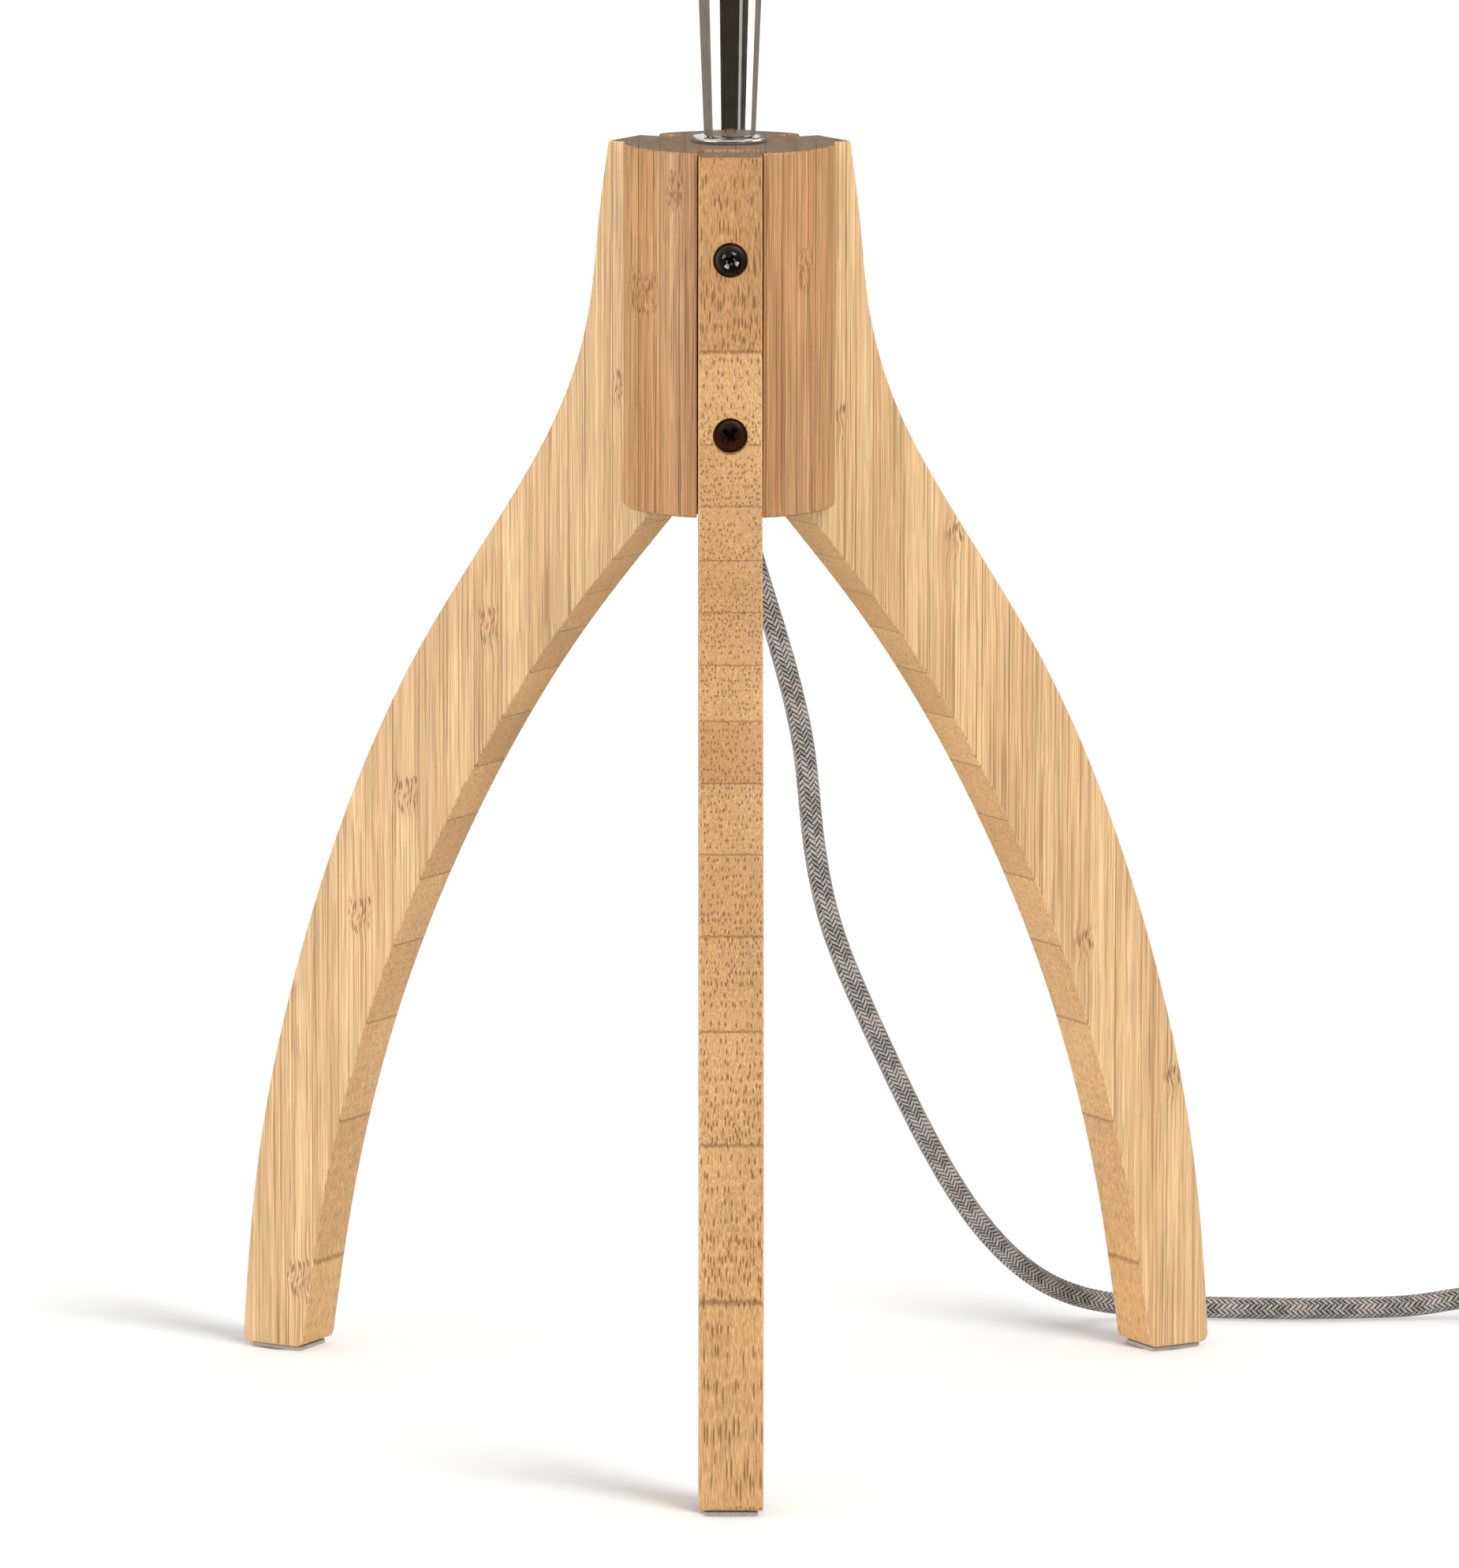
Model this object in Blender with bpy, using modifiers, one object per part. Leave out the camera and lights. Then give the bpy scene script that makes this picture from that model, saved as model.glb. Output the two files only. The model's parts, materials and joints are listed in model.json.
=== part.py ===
"""Tripod lamp: three curved bamboo legs let into a turned hub, a flared chrome neck,
an E27 lampholder with its bulb, and a fabric drum shade held by a clamp ring.

Metres, +Z up. The origin is on the lamp's axis, on the surface that the feet stand on.
The front leg points along -Y; the other two stand 120 degrees to either side of it.
"""

import math

import bmesh
import bpy
import numpy as np
from mathutils import Matrix, Vector

# ---------------------------------------------------------------- driving dimensions
GAP = 0.0003                 # air between two pieces that touch

# Tripod
LEG_AZIMUTHS = {"front": -90.0, "right": 30.0, "left": 150.0}
LEG_THICKNESS = 0.018
LEG_EDGE_ROUND = 0.0007
LEG_TOP_Z = 0.3642
LEG_ROOT_R = 0.0213          # inner edge of a leg, down in its slot
PAD_THICKNESS = 0.0012
FOOT_Z = PAD_THICKNESS + GAP
FOOT_OUTER_R = 0.1594
FOOT_INNER_R = 0.1388

# Hub
HUB_R = 0.0302
HUB_BOTTOM_Z = 0.2607
HUB_TOP_Z = 0.3650
HUB_EDGE_ROUND = 0.0012
SLOT_WIDTH = 0.0187
SLOT_FLOOR_R = 0.0210
RECESS_R = 0.013             # counterbore under the hub, for the nut and the cord boot
RECESS_TOP_Z = 0.2821

# Leg screws, 4 mm wood screws: height, radius of the head's face and of the tip, from the axis
SCREW_ROWS = {"upper": (0.3355, 0.0387, 0.0090), "lower": (0.2870, 0.0484, 0.0090)}
SCREW_HEAD_R = 0.0046
SCREW_HEAD_H = 0.0030
SCREW_SHANK_R = 0.0020

# Threaded tube, M10 x 1, which clamps the hub, the neck and the lampholder together
TUBE_R = 0.0050
TUBE_BORE_R = 0.0040
TUBE_HOLE_R = 0.0053         # holes that the tube passes through
TUBE_BOTTOM_Z = 0.2703
TUBE_TOP_Z = 0.4650

# Nut and washer under the hub
NUT_R = 0.0081
NUT_T = 0.0045
WASHER_R = 0.0115
WASHER_T = 0.0012

# Chrome neck
FLANGE_R = 0.0111
FLANGE_T = 0.0012
NECK_BASE_R = 0.00735
NECK_FLARE = 0.0403          # growth of radius per length
NECK_WALL = 0.0009
NECK_TOP_Z = 0.4520

# Lampholder, E27
CUP_RIM_Z = 0.4640
HOLDER_R = 0.0195
HOLDER_CAP_TOP_Z = 0.4720
HOLDER_RIM_Z = 0.5100
SHOULDER_Z = 0.4900          # the carrier ring rests here
INSERT_TOP_Z = 0.4835
INSERT_R = 0.0160
INSERT_T = 0.0088
SCREW_SHELL_R = 0.0143
SCREW_SHELL_TOP_Z = 0.5040

# Bulb, G60 with an E27 cap
E27_PITCH = 0.00363
BULB_CAP_TOP_Z = 0.5125
BULB_BODY_TOP_Z = 0.5395
LED_BOARD_R = 0.0215
LED_BOARD_T = 0.0016
GLOBE_R = 0.0300
GLOBE_Z = 0.5610
GLOBE_WALL = 0.0010

# Shade
SHADE_BOTTOM_Z = 0.4400
SHADE_HEIGHT = 0.2000
SHADE_BOTTOM_R = 0.1600
SHADE_TOP_R = 0.1300
SHADE_SKIN = 0.0009
SHADE_WIRE_R = 0.0015
SHADE_RING_INSET = 0.0030    # from the skin's edge to the ring's middle
SHADE_RING_CLEAR = 0.0005    # between the skin and a ring
CARRIER_R = 0.0250
CARRIER_HOLE_R = 0.0200
CARRIER_T = 0.0015
CLAMP_RING_R = 0.0237
CLAMP_RING_T = 0.0060

# Cord
CORD_R = 0.0032
BOOT_TILT = math.radians(17.0)
BOOT_HEADING = math.radians(15.0)
BOOT_TAIL = 0.0225
BOOT_R = 0.0080

# Switch, coil and plug, lying on the surface to the right of the lamp
SWITCH_CENTRE = Vector((0.2620, 0.1140, 0.0))
SWITCH_SIZE = Vector((0.0640, 0.0260, 0.0170))
SWITCH_SPLIT_Z = 0.0078
CORD_AT_SWITCH_Z = 0.0062
COIL_CENTRE = Vector((0.3380, 0.0758, 0.0))
COIL_R = 0.0350              # to the middle of the turns
COIL_HALF_WIDTH = 0.0066
COIL_HEIGHT = 0.0196
TIE_WIDTH = 0.0100
TIE_THICKNESS = 0.0010
PLUG_Y = COIL_CENTRE.y - COIL_R - CORD_R
PLUG_BODY = Vector((0.0350, 0.0350, 0.0137))
PLUG_BACK_X = 0.2760
PLUG_PIN_R = 0.0020
PLUG_PIN_LENGTH = 0.0190
PLUG_PIN_SPACING = 0.0186
PLUG_PIN_ROOT = 0.0077       # length of a pin inside the body
PLUG_COLLAR_R = 0.0060
PLUG_COLLAR_LENGTH = 0.0160
ROCKER_WELL = Vector((0.0240, 0.0140, 0.0400))
ROCKER_PIVOT_R = 0.0008
ROCKER_TILT = math.radians(8.0)      # the rocker rests with its far end pressed down

ROUND = 48                   # sides of the larger turned pieces
SMALL_ROUND = 24


# ---------------------------------------------------------------- scene and helpers
def clear_scene():
    """Remove every object and leave two collections: the lamp and its cutters."""
    for obj in list(bpy.data.objects):
        bpy.data.objects.remove(obj, do_unlink=True)
    made = []
    for name in ("tripod_lamp", "cutters"):
        collection = bpy.data.collections.new(name)
        bpy.context.scene.collection.children.link(collection)
        made.append(collection)
    return made


LAMP, CUTTERS = clear_scene()


def material(name, colour, roughness, metallic=0.0):
    """A plain Principled material."""
    mat = bpy.data.materials.new(name)
    mat.use_nodes = True
    shader = mat.node_tree.nodes["Principled BSDF"]
    shader.inputs["Base Color"].default_value = (*colour, 1.0)
    shader.inputs["Roughness"].default_value = roughness
    shader.inputs["Metallic"].default_value = metallic
    return mat


BAMBOO = material("bamboo", (0.73, 0.48, 0.25), 0.45)
CHROME = material("chrome", (0.80, 0.79, 0.77), 0.08, 1.0)
BLACK_STEEL = material("black_steel", (0.03, 0.028, 0.027), 0.35, 1.0)
ZINC = material("zinc_steel", (0.62, 0.62, 0.60), 0.35, 1.0)
BRASS = material("brass", (0.78, 0.58, 0.28), 0.28, 1.0)
GREY_CLOTH = material("grey_braid", (0.30, 0.30, 0.31), 0.85)
GREY_PLASTIC = material("grey_plastic", (0.24, 0.24, 0.25), 0.45)
BLACK_PLASTIC = material("black_plastic", (0.02, 0.02, 0.02), 0.4)
WHITE_PLASTIC = material("white_plastic", (0.85, 0.85, 0.83), 0.4)
PAD_FELT = material("pad_felt", (0.52, 0.51, 0.49), 0.9)
GLOBE = material("frosted_globe", (0.95, 0.95, 0.93), 0.35)
LINEN = material("linen", (0.86, 0.83, 0.77), 0.9)
BROWN_WIRE = material("brown_wire", (0.20, 0.09, 0.04), 0.5)
BLUE_WIRE = material("blue_wire", (0.04, 0.15, 0.45), 0.5)


def add_object(name, data, mat, collection=LAMP):
    """Put mesh or curve data into the scene as one named object."""
    obj = bpy.data.objects.new(name, data)
    collection.objects.link(obj)
    if mat:
        data.materials.append(mat)
    return obj


def cutter(obj):
    """Turn an object into a hidden cutter."""
    for collection in list(obj.users_collection):
        collection.objects.unlink(obj)
    CUTTERS.objects.link(obj)
    obj.hide_render = True
    obj.display_type = "WIRE"
    return obj


def boolean(obj, other, operation="DIFFERENCE"):
    """Cut obj with another object, or join the other to it."""
    modifier = obj.modifiers.new(operation.lower(), "BOOLEAN")
    modifier.operation = operation
    modifier.object = cutter(other)


def bevel(obj, width, segments=2, angle=40.0):
    """Round the edges sharper than the angle."""
    modifier = obj.modifiers.new("round", "BEVEL")
    modifier.width = width
    modifier.segments = segments
    modifier.limit_method = "ANGLE"
    modifier.angle_limit = math.radians(angle)


def turned(name, profile, mat, steps=ROUND, ring=False):
    """Turn a profile of (radius, height) points about Z, from the top down its outer side.

    With ring set, the profile closes on itself and leaves a hole in the middle.
    """
    mesh = bpy.data.meshes.new(name)
    points = [(radius, 0.0, height) for radius, height in profile]
    edges = [(i, i + 1) for i in range(len(points) - 1)]
    if ring:
        edges.append((len(points) - 1, 0))
    mesh.from_pydata(points, edges, [])
    obj = add_object(name, mesh, mat)
    screw = obj.modifiers.new("turn", "SCREW")
    screw.axis = "Z"
    screw.angle = 2.0 * math.pi
    screw.steps = steps
    screw.render_steps = steps
    screw.use_merge_vertices = True
    screw.merge_threshold = 0.00001
    screw.use_smooth_shade = True
    return obj


def block(name, size, mat, centre=(0.0, 0.0, 0.0), edge=0.0, segments=2):
    """A box of the given size about its centre, with rounded edges."""
    bm = bmesh.new()
    bmesh.ops.create_cube(bm, size=1.0)
    bmesh.ops.scale(bm, vec=Vector(size), verts=bm.verts)
    mesh = bpy.data.meshes.new(name)
    bm.to_mesh(mesh)
    bm.free()
    obj = add_object(name, mesh, mat)
    obj.location = centre
    if edge:
        bevel(obj, edge, segments)
    return obj


def cylinder(name, radius, depth, mat, sides=SMALL_ROUND, end_radius=None):
    """A cylinder or cone about Z, centred on its own origin."""
    bm = bmesh.new()
    end = radius if end_radius is None else end_radius
    bmesh.ops.create_cone(bm, cap_ends=True, segments=sides, radius1=radius, radius2=end, depth=depth)
    mesh = bpy.data.meshes.new(name)
    bm.to_mesh(mesh)
    bm.free()
    mesh.shade_smooth()
    mesh.set_sharp_from_angle(angle=math.radians(40.0))
    return add_object(name, mesh, mat)


def smooth_through(points, spacing):
    """Points about the given distance apart on the natural cubic spline through some points."""
    knots = np.array([tuple(point) for point in points], dtype=float)
    chord = np.linalg.norm(np.diff(knots, axis=0), axis=1)
    at = np.concatenate([[0.0], np.cumsum(chord)])
    count = len(knots)
    system = np.zeros((count, count))
    right = np.zeros(knots.shape)
    system[0, 0] = system[-1, -1] = 1.0
    for i in range(1, count - 1):
        before, after = chord[i - 1], chord[i]
        system[i, i - 1:i + 2] = before, 2.0 * (before + after), after
        right[i] = 6.0 * ((knots[i + 1] - knots[i]) / after - (knots[i] - knots[i - 1]) / before)
    bend = np.linalg.solve(system, right)
    samples = max(2, round(at[-1] / spacing)) + 1
    curve = []
    for distance in np.linspace(0.0, at[-1], samples):
        i = min(int(np.searchsorted(at, distance, side="right")) - 1, count - 2)
        span, a, b = chord[i], at[i + 1] - distance, distance - at[i]
        value = (bend[i] * a ** 3 + bend[i + 1] * b ** 3) / (6.0 * span)
        value += (knots[i] / span - bend[i] * span / 6.0) * a
        value += (knots[i + 1] / span - bend[i + 1] * span / 6.0) * b
        curve.append(tuple(float(part) for part in value))
    return curve


def poly_curve(name, points, dimensions, cyclic=False):
    """Curve data with one POLY spline through the points."""
    data = bpy.data.curves.new(name, "CURVE")
    data.dimensions = dimensions
    spline = data.splines.new("POLY")
    spline.points.add(len(points) - 1)
    for slot, point in zip(spline.points, points):
        slot.co = (*point, 1.0)
    spline.use_cyclic_u = cyclic
    return data


def tube(name, points, radius, mat):
    """A round solid along the points, with flat ends."""
    data = poly_curve(name, points, "3D")
    data.bevel_depth = radius
    data.bevel_resolution = 2
    data.use_fill_caps = True
    return add_object(name, data, mat)


def to_mesh(obj):
    """Replace a curve object by a mesh with its caps welded on."""
    bpy.context.view_layer.update()
    evaluated = obj.evaluated_get(bpy.context.evaluated_depsgraph_get())
    mesh = bpy.data.meshes.new_from_object(evaluated)
    bm = bmesh.new()
    bm.from_mesh(mesh)
    bmesh.ops.remove_doubles(bm, verts=bm.verts, dist=0.00001)
    bmesh.ops.dissolve_limit(bm, angle_limit=math.radians(0.5), verts=bm.verts, edges=bm.edges)
    bm.to_mesh(mesh)
    bm.free()
    name, matrix, home = obj.name, obj.matrix_world.copy(), obj.users_collection[0]
    bpy.data.objects.remove(obj, do_unlink=True)
    solid = bpy.data.objects.new(name, mesh)
    home.objects.link(solid)
    solid.matrix_world = matrix
    return solid


def plate(name, outline, thickness, mat):
    """A flat solid with the given closed outline in XY, centred on the XY plane."""
    data = poly_curve(name, [(x, y, 0.0) for x, y in outline], "2D", cyclic=True)
    data.fill_mode = "BOTH"
    data.extrude = thickness / 2.0
    return to_mesh(add_object(name, data, mat))


def about_axis(degrees):
    """Rotation about the lamp's axis."""
    return Matrix.Rotation(math.radians(degrees), 4, "Z")


# ---------------------------------------------------------------- tripod
def leg_outline():
    """Outline of a leg: radius from the axis against height, anticlockwise from the inner foot."""
    outer = smooth_through([
        (FOOT_OUTER_R, FOOT_Z), (0.1548, 0.0515), (0.1353, 0.1315), (0.0992, 0.2115), (0.0670, 0.2595),
        (0.0487, 0.2915), (0.0411, 0.3170), (0.0382, 0.3415), (0.0348, LEG_TOP_Z),
    ], 0.014)
    inner = smooth_through([
        (LEG_ROOT_R + 0.0024, 0.2545), (0.0514, 0.2215), (0.0896, 0.1615), (0.1162, 0.1015),
        (0.1325, 0.0415), (FOOT_INNER_R, FOOT_Z),
    ], 0.015)
    root = [(LEG_ROOT_R, LEG_TOP_Z), (LEG_ROOT_R, 0.2575)]
    return outer + root + inner


def screw_hole(name, height, face_r, degrees):
    """Cutter for one counterbored screw hole, along a leg's radius."""
    seat = face_r - SCREW_HEAD_H - GAP
    profile = [(0.0, 0.080), (SCREW_HEAD_R + GAP, 0.080), (SCREW_HEAD_R + GAP, seat),
               (SCREW_SHANK_R + GAP, seat), (SCREW_SHANK_R + GAP, 0.0065), (0.0, 0.0065)]
    hole = turned(name, profile, None, steps=16)
    hole.matrix_world = about_axis(degrees) @ Matrix.Translation((0, 0, height)) @ Matrix.Rotation(
        math.radians(90.0), 4, "Y")
    return hole


def make_legs():
    """Three identical legs with two counterbored screw holes each."""
    outline = leg_outline()
    for side, degrees in LEG_AZIMUTHS.items():
        leg = plate(f"leg_{side}", outline, LEG_THICKNESS, BAMBOO)
        leg.matrix_world = about_axis(degrees) @ Matrix.Rotation(math.radians(90.0), 4, "X")
        bevel(leg, LEG_EDGE_ROUND, 1)
        for row, (height, face_r, _) in SCREW_ROWS.items():
            boolean(leg, screw_hole(f"hole_{side}_{row}", height, face_r, degrees))


def make_leg_screws():
    """Cross-recessed wood screws through the legs' outer edges into the hub."""
    for side, degrees in LEG_AZIMUTHS.items():
        for row, (height, face_r, tip_r) in SCREW_ROWS.items():
            seat = face_r - SCREW_HEAD_H
            profile = [(0.0, face_r), (SCREW_HEAD_R - 0.0006, face_r), (SCREW_HEAD_R, face_r - 0.0006),
                       (SCREW_HEAD_R, seat), (SCREW_SHANK_R, seat), (SCREW_SHANK_R, tip_r + 0.003),
                       (0.0, tip_r)]
            name = f"leg_screw_{side}_{row}"
            place = about_axis(degrees) @ Matrix.Translation((0, 0, height)) @ Matrix.Rotation(
                math.radians(90.0), 4, "Y")
            screw = turned(name, profile, BLACK_STEEL, steps=14)
            screw.matrix_world = place
            for turn in (0.0, 90.0):
                slot = block(f"{name}_recess_{turn:.0f}", (0.0050, 0.0013, 0.0032), None)
                slot.matrix_world = place @ Matrix.Translation((0, 0, face_r)) @ Matrix.Rotation(
                    math.radians(turn + 45.0), 4, "Z")
                boolean(screw, slot)


def make_foot_pads():
    """A thin pad under each foot, set in from the foot's edges."""
    middle_r = (FOOT_OUTER_R + FOOT_INNER_R) / 2.0
    for side, degrees in LEG_AZIMUTHS.items():
        pad = block(f"foot_pad_{side}", (0.0170, 0.0150, PAD_THICKNESS), PAD_FELT, edge=0.0003, segments=1)
        pad.matrix_world = about_axis(degrees) @ Matrix.Translation((middle_r, 0, PAD_THICKNESS / 2.0))


def make_hub():
    """Turned hub with three through slots, a central bore, a recess below and screw pilots."""
    height = HUB_TOP_Z - HUB_BOTTOM_Z
    hub = cylinder("hub", HUB_R, height, BAMBOO, sides=64)
    hub.location.z = HUB_BOTTOM_Z + height / 2.0
    bevel(hub, HUB_EDGE_ROUND, 2, angle=60.0)
    for side, degrees in LEG_AZIMUTHS.items():
        slot = block(f"slot_{side}", (0.020, SLOT_WIDTH, 2.0 * height), None)
        slot.matrix_world = about_axis(degrees) @ Matrix.Translation((SLOT_FLOOR_R + 0.010, 0, hub.location.z))
        boolean(hub, slot)
        for row, (row_z, _, tip_r) in SCREW_ROWS.items():
            pilot = cylinder(f"pilot_{side}_{row}", SCREW_SHANK_R + GAP, 0.020, None, sides=12)
            pilot.matrix_world = about_axis(degrees) @ Matrix.Translation(
                (tip_r - GAP + 0.010, 0, row_z)) @ Matrix.Rotation(math.radians(90.0), 4, "Y")
            boolean(hub, pilot)
    bore = cylinder("hub_bore", TUBE_HOLE_R, 2.0 * height, None)
    bore.location.z = hub.location.z
    boolean(hub, bore)
    recess = cylinder("hub_recess", RECESS_R, 0.060, None, sides=32)
    recess.location.z = RECESS_TOP_Z - 0.030
    boolean(hub, recess)


# ---------------------------------------------------------------- stem
def make_stem():
    """Threaded tube with its nut and washer below, and the chrome flange, neck and cup above."""
    turned("threaded_tube", [(TUBE_R, TUBE_TOP_Z), (TUBE_R, TUBE_BOTTOM_Z), (TUBE_BORE_R, TUBE_BOTTOM_Z),
                             (TUBE_BORE_R, TUBE_TOP_Z)], ZINC, steps=SMALL_ROUND, ring=True)

    washer_top = RECESS_TOP_Z - GAP
    washer_bottom = washer_top - WASHER_T
    turned("bottom_washer", [(WASHER_R, washer_top), (WASHER_R, washer_bottom), (TUBE_HOLE_R, washer_bottom),
                             (TUBE_HOLE_R, washer_top)], ZINC, steps=SMALL_ROUND, ring=True)

    nut = cylinder("bottom_nut", NUT_R, NUT_T, ZINC, sides=6)
    nut.location.z = washer_bottom - GAP - NUT_T / 2.0
    hole = cylinder("nut_hole", TUBE_HOLE_R, 0.02, None, sides=SMALL_ROUND)
    hole.location.z = nut.location.z
    boolean(nut, hole)

    low, high = HUB_TOP_Z + GAP, HUB_TOP_Z + GAP + FLANGE_T
    turned("flange", [(TUBE_HOLE_R, high), (FLANGE_R - 0.0005, high), (FLANGE_R, (low + high) / 2.0),
                      (FLANGE_R - 0.0005, low), (TUBE_HOLE_R, low)], CHROME, ring=True)

    base = high + GAP
    top_r = NECK_BASE_R + NECK_FLARE * (NECK_TOP_Z - base)
    turned("neck", [(top_r, NECK_TOP_Z), (NECK_BASE_R, base), (NECK_BASE_R - NECK_WALL, base),
                    (top_r - NECK_WALL, NECK_TOP_Z)], CHROME, ring=True)

    floor = NECK_TOP_Z + GAP
    turned("neck_cup", [
        (0.0193, CUP_RIM_Z), (0.0202, CUP_RIM_Z), (0.0196, floor + 0.0075), (0.0176, floor + 0.0037),
        (0.0148, floor + 0.0011), (0.0120, floor), (TUBE_HOLE_R, floor), (TUBE_HOLE_R, floor + 0.0012),
        (0.0118, floor + 0.0012), (0.0142, floor + 0.0021), (0.0168, floor + 0.0045), (0.0187, floor + 0.0080),
    ], CHROME, steps=36, ring=True)


# ---------------------------------------------------------------- lampholder
def make_lampholder():
    """Cap, outer shell, insert with its contact, and the screw shell."""
    base = NECK_TOP_Z + 0.0018
    turned("holder_cap", [
        (HOLDER_R - 0.0016, HOLDER_CAP_TOP_Z), (HOLDER_R, HOLDER_CAP_TOP_Z), (HOLDER_R, CUP_RIM_Z + 0.0020),
        (0.0186, CUP_RIM_Z + 0.0004), (0.0181, base + 0.0065), (0.0162, base + 0.0031), (0.0138, base + 0.0008),
        (0.0112, base), (TUBE_HOLE_R, base), (TUBE_HOLE_R, base + 0.0070), (0.0080, base + 0.0070),
        (0.0080, base + 0.0020), (0.0128, base + 0.0026), (0.0160, base + 0.0062),
    ], BLACK_PLASTIC, steps=28, ring=True)

    low = HOLDER_CAP_TOP_Z + GAP
    turned("holder_shell", [
        (0.0145, HOLDER_RIM_Z), (HOLDER_R - 0.0008, HOLDER_RIM_Z), (HOLDER_R - 0.0003, SHOULDER_Z),
        (0.0215, SHOULDER_Z), (0.0215, SHOULDER_Z - 0.0020), (HOLDER_R, SHOULDER_Z - 0.0040), (HOLDER_R, low),
        (0.0170, low), (0.0170, HOLDER_RIM_Z - 0.0050), (0.0145, HOLDER_RIM_Z - 0.0035),
    ], BLACK_PLASTIC, steps=36, ring=True)

    turned("holder_insert", [
        (0.0035, INSERT_TOP_Z), (INSERT_R, INSERT_TOP_Z), (INSERT_R, INSERT_TOP_Z - INSERT_T),
        (0.0035, INSERT_TOP_Z - INSERT_T),
    ], WHITE_PLASTIC, steps=SMALL_ROUND, ring=True)

    shell_low = INSERT_TOP_Z + GAP
    turned("screw_shell", [
        (SCREW_SHELL_R - 0.0005, SCREW_SHELL_TOP_Z), (SCREW_SHELL_R, SCREW_SHELL_TOP_Z),
        (SCREW_SHELL_R, shell_low), (SCREW_SHELL_R - 0.0005, shell_low),
    ], BRASS, steps=32, ring=True)

    turned("centre_contact", [
        (0.0, INSERT_TOP_Z + 0.0028), (0.0022, INSERT_TOP_Z + 0.0024), (0.0048, INSERT_TOP_Z + 0.0008),
        (0.0048, INSERT_TOP_Z + GAP), (0.0, INSERT_TOP_Z + GAP),
    ], BRASS, steps=16)


def make_wiring():
    """The lead inside the threaded tube, and the two cores that leave it for the terminals."""
    start, end = TUBE_BOTTOM_Z, TUBE_TOP_Z + 0.0020
    tube("inner_lead", [(0, 0, start), (0, 0, (start + end) / 2.0), (0, 0, end)], 0.0030, GREY_PLASTIC)
    for name, side, mat in (("wire_live", -1.0, BROWN_WIRE), ("wire_neutral", 1.0, BLUE_WIRE)):
        route = smooth_through([
            (side * 0.0014, 0, end + GAP), (side * 0.0018, 0, end + 0.0020),
            (side * 0.0050, 0, end + 0.0040), (side * 0.0090, 0, end + 0.0045),
        ], 0.0012)
        tube(name, route, 0.0010, mat)


# ---------------------------------------------------------------- bulb
def make_bulb():
    """LED bulb with an E27 cap; every piece has its origin on the lamp's axis."""
    tip = INSERT_TOP_Z + 0.0031
    turned("bulb_contact", [(0.0, tip + 0.0014), (0.0046, tip + 0.0014), (0.0046, tip + 0.0005),
                            (0.0032, tip), (0.0, tip)], ZINC, steps=16)
    low = tip + 0.0017
    turned("bulb_insulator", [(0.0, low + 0.0040), (0.0112, low + 0.0040), (0.0055, low), (0.0, low)],
           BLACK_PLASTIC, steps=20)

    cap_low = low + 0.0043
    crest, root, inside = 0.0131, 0.0124, 0.0116
    profile = [(root, BULB_CAP_TOP_Z)]
    for i in range(4):
        middle = BULB_CAP_TOP_Z - 0.0038 - i * E27_PITCH
        profile += [(root, middle + E27_PITCH / 2.0), (crest, middle)]
    profile += [(root, cap_low + 0.0010), (inside + 0.0003, cap_low), (inside, cap_low),
                (inside, BULB_CAP_TOP_Z)]
    turned("bulb_cap", profile, ZINC, steps=SMALL_ROUND, ring=True)

    foot, top = BULB_CAP_TOP_Z + GAP, BULB_BODY_TOP_Z
    turned("bulb_body", [
        (0.0, top), (0.0248, top), (0.0262, top - 0.0010), (0.0255, top - 0.0065), (0.0215, top - 0.0165),
        (0.0165, top - 0.0230), (0.0140, foot), (0.0, foot),
    ], WHITE_PLASTIC, steps=28)
    board = top + GAP
    turned("led_board", [(0.0, board + LED_BOARD_T), (LED_BOARD_R, board + LED_BOARD_T), (LED_BOARD_R, board),
                         (0.0, board)], WHITE_PLASTIC, steps=20)

    outer, inner = [], []
    for i in range(9):
        angle = math.radians(90.0 - i * 16.4)
        reach = (math.cos(angle), math.sin(angle))
        outer.append((GLOBE_R * reach[0], GLOBE_Z + GLOBE_R * reach[1]))
        inner.append(((GLOBE_R - GLOBE_WALL) * reach[0], GLOBE_Z + (GLOBE_R - GLOBE_WALL) * reach[1]))
    turned("bulb_globe", outer + inner[::-1], GLOBE, steps=SMALL_ROUND)


# ---------------------------------------------------------------- shade
def shade_radius(height):
    """Outer radius of the shade at a height."""
    share = (height - SHADE_BOTTOM_Z) / SHADE_HEIGHT
    return SHADE_BOTTOM_R + (SHADE_TOP_R - SHADE_BOTTOM_R) * share


def wire_ring(name, height):
    """Wire ring just inside the shade's skin."""
    radius = shade_radius(height) - SHADE_SKIN - SHADE_WIRE_R - SHADE_RING_CLEAR
    points = []
    for degrees in range(90, -270, -72):
        angle = math.radians(degrees)
        points.append((radius + SHADE_WIRE_R * math.cos(angle), height + SHADE_WIRE_R * math.sin(angle)))
    return turned(name, points, ZINC, steps=ROUND, ring=True)


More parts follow.
